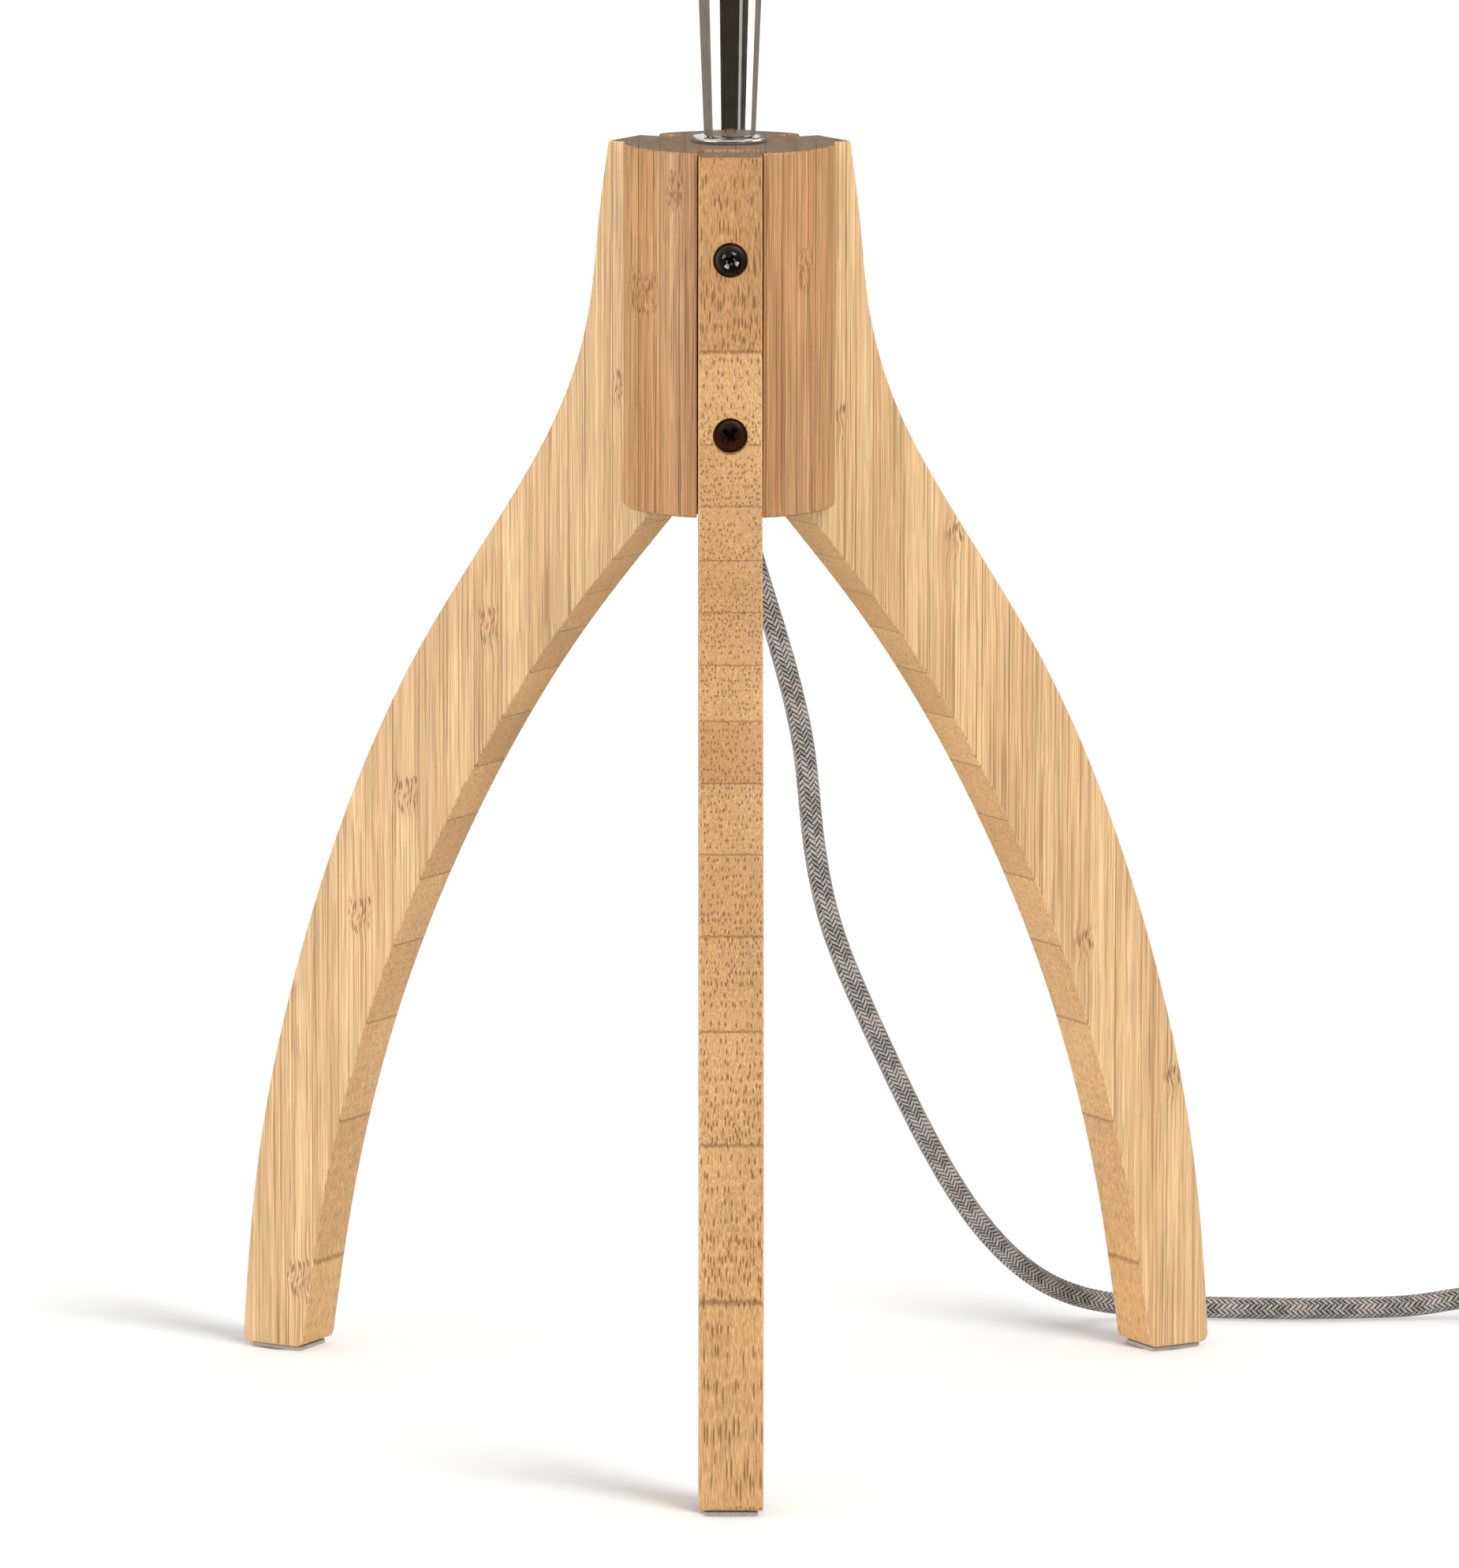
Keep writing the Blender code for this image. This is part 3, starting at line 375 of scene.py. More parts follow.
def sweep(name, points, radius, around):
    """Tube along points, with the distance along and the angle round kept in the attribute `wrap`."""
    points = np.asarray(points, float)
    ahead = np.gradient(points, axis=0)
    ahead /= np.linalg.norm(ahead, axis=1)[:, None]
    side = np.cross(ahead[0], (0.0, 0.0, 1.0))
    if np.linalg.norm(side) < 1e-3:
        side = np.cross(ahead[0], (0.0, 1.0, 0.0))
    side /= np.linalg.norm(side)
    along = np.concatenate([[0.0], np.cumsum(np.linalg.norm(np.diff(points, axis=0), axis=1))])
    verts, wrap = [], []
    for i, point in enumerate(points):
        side = side - ahead[i] * float(side @ ahead[i])
        side /= np.linalg.norm(side)
        up = np.cross(ahead[i], side)
        for k in range(around):
            angle = math.tau * k / around
            verts.append(point + radius * (math.cos(angle) * side + math.sin(angle) * up))
    faces = []
    for i in range(len(points) - 1):
        for k in range(around):
            n = (k + 1) % around
            faces.append((i * around + k, i * around + n, (i + 1) * around + n, (i + 1) * around + k))
            wrap += [(along[i], k), (along[i], k + 1), (along[i + 1], k + 1), (along[i + 1], k)]
    last = (len(points) - 1) * around
    faces += [tuple(range(around - 1, -1, -1)), tuple(range(last, last + around))]
    wrap += [(along[0], k) for k in range(around - 1, -1, -1)] + [(along[-1], k) for k in range(around)]
    mesh = bpy.data.meshes.new(name)
    mesh.from_pydata([tuple(v) for v in verts], [], faces)
    layer = mesh.attributes.new("wrap", "FLOAT_VECTOR", "CORNER")
    flat = [c for s, k in wrap for c in (s * 1000.0, k / around, 0.0)]
    layer.data.foreach_set("vector", flat)
    obj = link_mesh(name, mesh)
    return shade(obj, 50.0)


def keep_coordinates(obj, matrix, seed=0.0):
    """Stores each point's place in the board it is cut from, in millimetres, for the wood's grain."""
    mesh = obj.data
    count = len(mesh.vertices)
    co = np.empty(count * 3, np.float32)
    mesh.vertices.foreach_get("co", co)
    world = np.c_[co.reshape(-1, 3), np.ones(count)]
    local = (world @ np.array(matrix.transposed(), float))[:, :3] * 1000.0
    layer = mesh.attributes.new("board", "FLOAT_VECTOR", "POINT")
    layer.data.foreach_set("vector", local.astype(np.float32).ravel())
    number = mesh.attributes.new("seed", "FLOAT", "POINT")
    number.data.foreach_set("value", np.full(count, seed, np.float32))
    return obj


# ---------------------------------------------------------------- material helpers
class Nodes:
    """Short names for the shader nodes that the materials are made of."""

    def __init__(self, name):
        self.material = bpy.data.materials.new(name)
        self.material.use_nodes = True
        self.tree = self.material.node_tree
        self.shader = self.tree.nodes["Principled BSDF"]

    def put(self, socket, value):
        if isinstance(value, bpy.types.NodeSocket):
            self.tree.links.new(value, socket)
        elif value is not None:
            socket.default_value = value

    def set(self, **values):
        for key, value in values.items():
            name = key.replace("_", " ")
            if isinstance(value, tuple) and len(value) == 3 and self.shader.inputs[name].type == "RGBA":
                value = (*value, 1.0)
            self.put(self.shader.inputs[name], value)
        return self

    def math(self, operation, a, b=None, c=None):
        made = self.tree.nodes.new("ShaderNodeMath")
        made.operation = operation
        for socket, value in zip(made.inputs, (a, b, c)):
            self.put(socket, value)
        return made.outputs[0]

    def add(self, a, b):
        return self.math("ADD", a, b)

    def mul(self, a, b):
        return self.math("MULTIPLY", a, b)

    def span(self, value, low, high, out_low=0.0, out_high=1.0, smooth=True):
        """The value's place between low and high, clamped, as a number between out_low and out_high."""
        made = self.tree.nodes.new("ShaderNodeMapRange")
        made.interpolation_type = "SMOOTHSTEP" if smooth else "LINEAR"
        for name, number in (("From Min", low), ("From Max", high), ("To Min", out_low),
                             ("To Max", out_high), ("Value", value)):
            self.put(made.inputs[name], number)
        return made.outputs["Result"]

    def vector(self, x=0.0, y=0.0, z=0.0):
        made = self.tree.nodes.new("ShaderNodeCombineXYZ")
        for socket, value in zip(made.inputs, (x, y, z)):
            self.put(socket, value)
        return made.outputs[0]

    def split(self, vector):
        made = self.tree.nodes.new("ShaderNodeSeparateXYZ")
        self.put(made.inputs[0], vector)
        return made.outputs

    def attribute(self, name, output="Vector"):
        made = self.tree.nodes.new("ShaderNodeAttribute")
        made.attribute_name = name
        return made.outputs[output]

    def place(self):
        """The point in the object's own space, in millimetres."""
        made = self.tree.nodes.new("ShaderNodeTexCoord")
        scaled = self.tree.nodes.new("ShaderNodeVectorMath")
        scaled.operation = "SCALE"
        scaled.inputs["Scale"].default_value = 1000.0
        self.put(scaled.inputs[0], made.outputs["Object"])
        return scaled.outputs[0]

    def noise(self, vector, scale=1.0, detail=2.0, roughness=0.5):
        made = self.tree.nodes.new("ShaderNodeTexNoise")
        self.put(made.inputs["Vector"], vector)
        self.put(made.inputs["Scale"], scale)
        made.inputs["Detail"].default_value = detail
        made.inputs["Roughness"].default_value = roughness
        return made.outputs["Fac"]

    def random(self, vector):
        made = self.tree.nodes.new("ShaderNodeTexWhiteNoise")
        self.put(made.inputs["Vector"], vector)
        return made.outputs["Value"]

    def cells(self, vector, scale=1.0, randomness=1.0, flat=False):
        """Distance to the nearest cell's centre, and the cell's random number; flat cells are columns."""
        made = self.tree.nodes.new("ShaderNodeTexVoronoi")
        made.voronoi_dimensions = "2D" if flat else "3D"
        self.put(made.inputs["Vector"], vector)
        self.put(made.inputs["Scale"], scale)
        made.inputs["Randomness"].default_value = randomness
        return made.outputs["Distance"], self.split(made.outputs["Color"])[0]

    def mix(self, share, a, b, blend="MIX"):
        made = self.tree.nodes.new("ShaderNodeMix")
        made.data_type = "RGBA"
        made.blend_type = blend
        made.clamp_factor = True
        self.put(made.inputs[0], share)
        for socket, value in ((made.inputs[6], a), (made.inputs[7], b)):
            self.put(socket, (*value, 1.0) if isinstance(value, tuple) and len(value) == 3 else value)
        return made.outputs[2]

    def darken(self, colour, factor):
        """The colour times a number."""
        grey = self.vector(factor, factor, factor)
        return self.mix(1.0, colour, grey, "MULTIPLY")

    def bump(self, height, strength=0.3, distance=0.0001):
        made = self.tree.nodes.new("ShaderNodeBump")
        made.inputs["Strength"].default_value = strength
        made.inputs["Distance"].default_value = distance
        self.put(made.inputs["Height"], height)
        return made.outputs[0]


def srgb(*values):
    """Linear colour of a display colour given from 0 to 255."""
    return tuple(((v / 255.0 + 0.055) / 1.055) ** 2.4 if v > 10 else v / 255.0 / 12.92 for v in values)


# ---------------------------------------------------------------- materials
def bamboo(name, edges, knots=(), end_grain_and_painted_shade=False, flip=(), tints=None, tone=(1.0, 1.0, 1.0), cut_tone=None,
           pores=1.0):
    """Laminated bamboo. The grain runs along the board's third axis and its strips stack along the first.
    edges is (start, width) for even strips, or a list of boundaries in mm. knots are ((centre, half width),
    height). flip names the strips whose dense side looks the other way; cut_tone colours the sawn edges and
    pores is how dark the vessels are there."""
    n = Nodes(name)
    across, through, along = n.split(n.attribute("board"))[:3]
    seed = n.attribute("seed", "Fac")
    waver = n.noise(n.vector(n.mul(along, 0.035), seed, n.mul(across, 0.02)), 1.0, 2.0)
    ragged = n.noise(n.vector(n.mul(along, 0.5), n.mul(through, 0.8), seed), 1.0, 3.0, 0.6)
    shifted = n.add(across, n.mul(n.add(ragged, -0.5), 0.42))
    if isinstance(edges, tuple):
        strip_at = n.math("DIVIDE", n.add(shifted, -edges[0]), edges[1])
        number = n.math("FLOOR", strip_at)
        share = n.math("FRACT", strip_at)
        near = n.mul(n.math("MINIMUM", share, n.math("SUBTRACT", 1.0, share)), edges[1])
    else:
        number, near = 0.0, 100.0
        for boundary in edges:
            number = n.add(number, n.math("GREATER_THAN", shifted, boundary))
            near = n.math("MINIMUM", near, n.math("ABSOLUTE", n.add(shifted, -boundary)))
        share = n.random(n.vector(number, seed, 5.0))
    tint = n.random(n.vector(number, seed, 1.0))
    if tints:
        first, tint = (-1 if isinstance(edges, tuple) else 0), 0.0
        for i, value in enumerate(tints):
            tint = n.add(tint, n.mul(n.math("COMPARE", number, float(first + i), 0.1), value))

    # knots: the fibres bow aside and break into short curved dashes
    wander = n.mul(n.add(waver, -0.5), 1.0)
    across_g, through_g = n.add(across, wander), n.add(through, n.mul(wander, 0.6))
    knot, dashes = 0.0, 0.0
    for (centre, half), height in knots:
        aside = n.add(shifted, -centre)
        inside = n.span(n.math("ABSOLUTE", aside), half + 0.4, half - 1.8)
        rise = n.add(n.add(along, -height), n.mul(n.mul(aside, aside), -0.16))
        window = n.mul(inside, n.math("EXPONENT", n.mul(n.math("POWER", n.mul(rise, 0.19), 2.0), -1.0)))
        bowed = n.add(aside, n.mul(n.math("SINE", n.mul(rise, 0.55)), 0.5))
        distance, own = n.cells(n.vector(n.mul(bowed, 1.7), n.mul(through, 1.7), n.mul(rise, 0.25)))
        dash = n.mul(n.span(distance, 0.46, 0.24), n.span(window, 0.15, 0.50))
        knot, dashes = n.add(knot, window), n.math("MAXIMUM", dashes, n.mul(dash, n.span(own, 0.05, 0.35)))
        across_g = n.add(across_g, n.mul(n.math("SINE", n.mul(rise, 0.42)), n.mul(window, 0.9)))

    # vessels: dark fibre bundles, closer together towards the strip's outer side
    side = share
    if flip:
        turned = 0.0
        for flipped in flip:
            turned = n.add(turned, n.math("COMPARE", number, float(flipped), 0.1))
        side = n.math("ABSOLUTE", n.math("SUBTRACT", turned, share))
    density = n.span(side, 0.0, 1.0, 0.35, 1.0, smooth=False)
    field = n.vector(n.add(across_g, n.mul(number, 7.3)), through_g, 0.0)
    distance, own = n.cells(field, 1.02, randomness=0.8, flat=True)
    broken = n.noise(n.vector(n.mul(own, 90.0), n.mul(along, 0.055), seed), 1.0, 1.0)
    present = n.mul(n.math("LESS_THAN", own, density), n.span(broken, 0.36, 0.46))
    vessel = n.mul(n.span(distance, 0.31, 0.19), present)
    fine_distance, fine_own = n.cells(field, 1.9, flat=True)
    fine = n.mul(n.span(fine_distance, 0.34, 0.20), n.math("LESS_THAN", fine_own, n.mul(density, 0.7)))

    # sawn edges show the vessels end on, the faces only faint lines of them
    if cut_tone:
        sawn = n.span(n.math("ABSOLUTE", through), 8.9, 8.3)
        vessel = n.mul(vessel, n.span(sawn, 0.0, 1.0, 0.14, pores, smooth=False))
        fine = n.mul(fine, n.span(sawn, 0.0, 1.0, 0.25, pores, smooth=False))
        figure = n.span(sawn, 0.0, 1.0, 0.62, 0.35, smooth=False)
    else:
        figure = 1.0
        vessel = n.mul(vessel, 1.0 if end_grain_and_painted_shade else 0.22)

    # long streaks and single fibres
    def fibres(crosswise, lengthwise, detail, roughness):
        at = n.vector(n.mul(across_g, crosswise), n.mul(through_g, crosswise), n.mul(along, lengthwise))
        return n.noise(at, 1.0, detail, roughness)

    streak, line = fibres(1.2, 0.006, 4.0, 0.70), fibres(1.6, 0.014, 1.0, 0.50)
    hair = fibres(4.2, 0.030, 3.0, 0.65)
    up = n.add(n.mul(along, 0.02), seed)
    cloud = n.noise(n.vector(n.mul(across, 0.06), n.mul(through, 0.06), up), 1.0, 2.0)

    colour = n.mix(tint, srgb(222, 182, 134), srgb(192, 145, 98))
    colour = n.mix(n.mul(figure, n.span(streak, 0.48, 0.66, 0.0, 0.62)), colour, srgb(168, 116, 70))
    colour = n.mix(n.mul(figure, n.span(streak, 0.50, 0.32, 0.0, 0.55)), colour, srgb(236, 204, 158))
    colour = n.mix(n.mul(figure, n.span(line, 0.56, 0.67, 0.0, 0.82)), colour, srgb(144, 92, 50))
    colour = n.darken(colour, n.span(hair, 0.34, 0.62, 1.16, 0.74))
    colour = n.darken(colour, n.span(cloud, 0.3, 0.7, 0.92, 1.06, smooth=False))
    glue = n.span(near, 0.20, 0.03)
    for part, weight, dark in ((vessel, 0.78, srgb(122, 76, 38)), (fine, 0.42, srgb(132, 84, 46)),
                               (knot, 0.18, srgb(170, 112, 62)), (dashes, 0.85, srgb(112, 66, 32)),
                               (glue, 0.55, srgb(112, 70, 38))):
        colour = n.mix(n.mul(part, weight), colour, dark)
    # End faces: the end grain's own darker tone, deepened as painted shade of the lampshade above.
    if end_grain_and_painted_shade:
        rings = n.noise(n.vector(n.mul(across, 0.25), n.mul(through, 0.9), 3.0), 1.0, 3.0, 0.6)
        dark = n.mix(n.span(rings, 0.35, 0.7), srgb(92, 74, 58), srgb(136, 112, 90))
        for part, weight in ((vessel, 0.6), (glue, 0.7)):
            dark = n.mix(n.mul(part, weight), dark, srgb(54, 40, 30))
        colour = n.mix(0.9, colour, dark)
    if cut_tone:
        colour = n.mix(1.0, colour, n.mix(sawn, tone, cut_tone), "MULTIPLY")
    else:
        colour = n.mix(1.0, colour, tone, "MULTIPLY")
    smooth_gloss, rough_gloss = (0.60, 0.80) if end_grain_and_painted_shade else (0.42, 0.58)
    height = n.mul(streak, 0.5)
    for part, depth in ((hair, 0.5), (vessel, 0.9), (glue, 1.2), (dashes, 1.0)):
        height = n.add(height, n.mul(part, -depth))
    n.set(Base_Color=colour, Roughness=n.span(hair, 0.2, 0.8, smooth_gloss, rough_gloss, smooth=False),
          Normal=n.bump(height, 0.40, 0.00014), Coat_Weight=0.10, Coat_Roughness=0.35)
    return n.material


def metal(name, colour, roughness, brushed=0.0, marks=0.1, specks=0.0):
    """Metal with faint wear: fine scratches in the gloss and slight shifts in the tone."""
    n = Nodes(name)
    at = n.place()
    x, y, z = n.split(at)[:3]
    cloud = n.noise(at, 0.22, 3.0)
    scratch = n.noise(n.vector(n.mul(x, 0.25), n.mul(y, 0.25), n.mul(z, 4.0)), 1.0, 4.0, 0.65)
    tone = n.darken((*colour, 1.0), n.span(cloud, 0.3, 0.7, 0.94, 1.04))
    if specks:
        worn = n.span(n.noise(at, 1.6, 5.0, 0.7), 0.60, 0.72)
        tone = n.mix(n.mul(worn, specks), tone, (0.42, 0.40, 0.37))
    gloss = n.span(cloud, 0.3, 0.75, roughness, roughness + marks)
    gloss = n.add(gloss, n.mul(n.add(scratch, -0.5), brushed))
    n.set(Base_Color=tone, Metallic=1.0, Roughness=gloss)
    if brushed:
        n.set(Normal=n.bump(scratch, 0.08, 0.00004))
    return n.material


def plastic(name, colour, roughness=0.42, grain=0.5, sheen=0.0, mottle=1.0):
    """Moulded plastic: a fine spark-eroded texture, a faint mottle and uneven gloss."""
    n = Nodes(name)
    at = n.place()
    texture = n.noise(at, 3.2, 4.0, 0.6)
    cloud = n.noise(at, 0.12, 3.0)
    tone = n.darken((*colour, 1.0), n.span(cloud, 0.3, 0.7, 1.0 - 0.07 * mottle, 1.0 + 0.05 * mottle))
    tone = n.darken(tone, n.span(texture, 0.3, 0.7, 0.97, 1.03))
    n.set(Base_Color=tone, Roughness=n.span(cloud, 0.3, 0.7, roughness - 0.05, roughness + 0.08),
          Normal=n.bump(texture, grain * 0.3, 0.00005), Sheen_Weight=sheen)
    return n.material


def felt(name, colour):
    n = Nodes(name)
    at = n.place()
    fuzz = n.noise(at, 4.0, 6.0, 0.75)
    lay = n.noise(at, 0.9, 3.0)
    deep, raised = (tuple(min(1.0, c * share) for c in colour) for share in (0.72, 1.18))
    tone = n.mix(n.span(fuzz, 0.3, 0.75), deep, raised)
    tone = n.darken(tone, n.span(lay, 0.3, 0.7, 0.9, 1.06))
    n.set(Base_Color=tone, Roughness=0.95, Normal=n.bump(fuzz, 0.8, 0.0003), Sheen_Weight=0.35)
    return n.material


def braid(name, light, dark):
    """Braided textile sleeve: two sets of yarns, each passing over two and under two. Each yarn's crown is
    painted light as a highlight and the gaps between yarns painted dark as shade.
    """
    n = Nodes(name)
    along, turn = n.split(n.attribute("wrap"))[:2]
    yarns, pitch = 12.0, 1.70
    u, v = n.mul(turn, yarns), n.math("DIVIDE", along, pitch)
    a, b = n.add(u, v), n.math("SUBTRACT", u, v)
    row_a, row_b = n.math("FLOOR", a), n.math("FLOOR", b)
    in_a, in_b = n.math("FRACT", a), n.math("FRACT", b)
    over = n.math("LESS_THAN", n.math("FLOORED_MODULO", n.add(row_a, row_b), 4.0), 1.5)

    def upper(of_a, of_b):
        return n.add(n.mul(over, of_a), n.mul(n.math("SUBTRACT", 1.0, over), of_b))

    crown = upper(*(n.math("SINE", n.mul(share, math.pi)) for share in (in_a, in_b)))
    threads = upper(*(n.math("SINE", n.mul(share, 3.0 * math.tau)) for share in (in_a, in_b)))
    yarn = upper(*(n.random(n.vector(n.math("FLOORED_MODULO", row, yarns), own, 3.0))
                   for row, own in ((row_a, 1.0), (row_b, 2.0))))
    fibre = n.noise(n.vector(n.mul(a, 6.0), n.mul(b, 6.0), 0.0), 1.0, 4.0, 0.7)
    # Colour: the crowns painted light as a highlight and the gaps painted dark as shade, mixed with each
    # yarn's own tone and its fibres.
    crown_highlight_and_yarn_tone = n.mul(crown, 0.55)
    for part, weight in ((yarn, 0.22), (threads, 0.06), (fibre, 0.25)):
        crown_highlight_and_yarn_tone = n.add(crown_highlight_and_yarn_tone, n.mul(part, weight))
    tone = n.mix(n.span(crown_highlight_and_yarn_tone, 0.34, 0.90), dark, light)
    height = n.add(crown, n.add(n.mul(threads, 0.14), n.mul(fibre, 0.25)))
    n.set(Base_Color=tone, Roughness=0.82, Normal=n.bump(height, 0.75, 0.0003), Sheen_Weight=0.15)
    return n.material


def linen(name, colour):
    """Plain-woven shade cloth with slubs; `wrap` holds the distance round and up, in millimetres."""
    n = Nodes(name)
    around, up = n.split(n.attribute("wrap"))[:2]
    gauge = 0.62                     # distance between threads, in millimetres
    warp, weft = (n.math("ABSOLUTE", n.math("SINE", n.mul(at, math.pi / gauge))) for at in (around, up))
    row, column = (n.math("FLOOR", n.math("DIVIDE", at, gauge)) for at in (up, around))
    over = n.math("FLOORED_MODULO", n.add(row, column), 2.0)
    thread = n.add(n.mul(over, warp), n.mul(n.math("SUBTRACT", 1.0, over), weft))
    slub_h = n.noise(n.vector(n.mul(around, 0.035), n.mul(up, 1.5), 1.0), 1.0, 4.0, 0.65)
    slub_v = n.noise(n.vector(n.mul(around, 1.5), n.mul(up, 0.035), 4.0), 1.0, 4.0, 0.65)
    slub = n.add(slub_h, slub_v)
    cloud = n.noise(n.vector(n.mul(around, 0.01), n.mul(up, 0.01), 7.0), 1.0, 2.0)
    tone = n.darken((*colour, 1.0), n.span(thread, 0.0, 1.0, 0.84, 1.04))
    tone = n.darken(tone, n.span(slub, 0.75, 1.25, 0.88, 1.06, smooth=False))
    tone = n.darken(tone, n.span(cloud, 0.3, 0.7, 0.97, 1.02))
    height = n.add(n.mul(thread, 0.6), n.mul(slub, 0.8))
    n.set(Base_Color=tone, Roughness=0.9, Normal=n.bump(height, 0.6, 0.00025), Sheen_Weight=0.2)
    return n.material


def paint(obj, material):
    """Gives the whole object one material."""
    obj.data.materials.clear()
    obj.data.materials.append(material)


def paint_faces(obj, material, chosen):
    """Gives the faces that are chosen, true or false for each in turn, a second material."""
    obj.data.materials.append(material)
    obj.data.polygons.foreach_set("material_index", [int(yes) for yes in chosen])


def show(obj, material, slot, *nodes, body="lamp"):
    """Finishes a new piece: material, the CAD nodes it stands for, and the body it rides on. The slot is not
    used.
    """
    paint(obj, material)
    if nodes:
        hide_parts(*nodes)
    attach(obj, body)
    return obj


# ---------------------------------------------------------------- the materials in use
HUB_EDGES = [-26.0, -19.9, -12.7, -8.3, 1.5, 10.1, 18.8, 24.4]
HUB_TINTS = [0.50, 0.75, 0.65, 1.0, 0.5, 1.0, 0.65, 0.95, 0.65]
HUB_KNOTS = [((-24.3, 4.6), 323.0), ((-15.7, 2.8), 354.0), ((21.3, 2.6), 331.0)]
LEG_KNOTS = {
    "front": [],
    "right": [((32.0, 2.2), 284.0), ((70.0, 3.8), 247.0), ((115.0, 4.4), 124.0), ((146.0, 4.4), 81.0)],
    "left": [((102.7, 4.4), 169.0), ((74.7, 3.8), 221.0), ((118.5, 4.4), 132.0), ((140.0, 4.4), 22.0),
             ((31.6, 2.0), 293.0)],
}
LEG_TINTS = {
    "front": [0.85, 0.35, 0.60, 0.62, 0.68, 0.66, 0.48, 0.88, 0.50, 0.72, 0.58, 0.48, 0.42, 0.45],
    "right": [0.10, 0.45, 0.15, 0.38, 0.05, 0.30, 0.42, 0.12, 0.35, 0.08, 0.28, 0.38, 0.12, 0.28],
    "left": [0.18, 0.05, 0.42, 0.12, 0.50, 0.15, 0.45, 0.05, 0.38, 0.12, 0.42, 0.08, 0.32, 0.12],
}
LEG_SEEDS = {"front": 3.0, "right": 11.0, "left": 23.0}
# The hub's tone is darker than the boards' partly as painted shade: the lampshade above blocks no sun, and
# this darkening stands in for its shadow.
HUB_TONE_WITH_PAINTED_SHADE, BOARD_TONE = (0.90, 0.81, 0.64), (1.03, 1.04, 0.98)
CUT_TONES = {"front": (0.90, 0.84, 0.66), "right": (0.97, 0.88, 0.62), "left": (0.97, 0.88, 0.62)}
CHROME = metal("chrome", (0.78, 0.765, 0.74), 0.045, marks=0.05)
BLACK_STEEL = metal("black_steel", (0.062, 0.052, 0.044), 0.30, marks=0.15, specks=0.30)
BROWN_STEEL = metal("brown_steel", (0.105, 0.058, 0.034), 0.34, marks=0.15, specks=0.25)
# Near-white steel for the upper screws' cross recesses: driver wear, brightened beyond bare steel as a
# painted highlight.
WORN_STEEL_AND_HIGHLIGHT = metal("worn_steel_and_highlight", (0.97, 0.96, 0.94), 0.50, marks=0.10)
ZINC = metal("zinc_steel", (0.60, 0.60, 0.58), 0.30, brushed=0.12, marks=0.15)
BRASS = metal("brass", (0.76, 0.57, 0.28), 0.25, marks=0.18)
NICKEL = metal("nickel", (0.70, 0.68, 0.64), 0.18, marks=0.12)
# The braid's light colour is the painted highlight on the yarn crowns, its dark one the painted shade between
# the yarns.
BRAID = braid("grey_braid", srgb(186, 178, 172), srgb(26, 23, 22))
GREY_PLASTIC = plastic("grey_plastic", srgb(112, 112, 114), 0.45)
BLACK_PLASTIC = plastic("black_plastic", srgb(26, 26, 27), 0.40)
WHITE_PLASTIC = plastic("white_plastic", srgb(236, 235, 230), 0.38)
OPAL = plastic("frosted_globe", srgb(238, 237, 233), 0.30, grain=0.10, mottle=0.3)
SHADE_LINING = plastic("shade_lining", srgb(236, 233, 226), 0.45, grain=0.2, mottle=0.2)
FELT = felt("pad_felt", srgb(176, 172, 166))
LINEN = linen("linen", srgb(226, 219, 204))
BROWN_WIRE = plastic("brown_wire", srgb(110, 66, 40), 0.4)
BLUE_WIRE = plastic("blue_wire", srgb(44, 96, 168), 0.4)
STRAP = plastic("strap", srgb(38, 38, 40), 0.75, grain=1.2, sheen=0.1)


# ---------------------------------------------------------------- legs
def leg_outline():
    """Outline of a leg: radius from the axis against height, anticlockwise from the outer foot."""
    worn = FOOT_CORNER_R
    outer = smooth_through([
        (FOOT_OUTER_R, FOOT_Z + worn, 0), (0.1548, 0.0515, 0), (0.1353, 0.1315, 0), (0.0992, 0.2115, 0),
        (0.0670, 0.2595, 0), (0.0487, 0.2915, 0), (0.0411, 0.3170, 0), (0.0382, 0.3415, 0),
        (0.0348, LEG_TOP_Z, 0),
    ], 0.004)
    inner = smooth_through([
        (LEG_ROOT_R + 0.0024, 0.2545, 0), (0.0514, 0.2215, 0), (0.0896, 0.1615, 0), (0.1162, 0.1015, 0),
        (0.1325, 0.0415, 0), (FOOT_INNER_R, FOOT_Z + worn, 0),
    ], 0.004)
    root = [(LEG_ROOT_R, LEG_TOP_Z), (LEG_ROOT_R, 0.2575)]
    foot = [(FOOT_INNER_R + worn * 0.3, FOOT_Z + worn * 0.3), (FOOT_INNER_R + worn, FOOT_Z),
            (FOOT_OUTER_R - worn, FOOT_Z), (FOOT_OUTER_R - worn * 0.3, FOOT_Z + worn * 0.3)]
    return [(p[0], p[1]) for p in outer] + root + [(p[0], p[1]) for p in inner] + foot


def counterbore(height, face_r):
    """Cutter for a screw's counterbore in a leg's outer edge, in the leg's own frame."""
    seat = face_r - SCREW_HEAD_H - GAP
    hole = drill(SCREW_HEAD_R + SCREW_HEAD_PLAY, seat, 0.080, 48)
    return place(hole, shift_by(0, 0, height) @ rotation(90.0, "Y"))


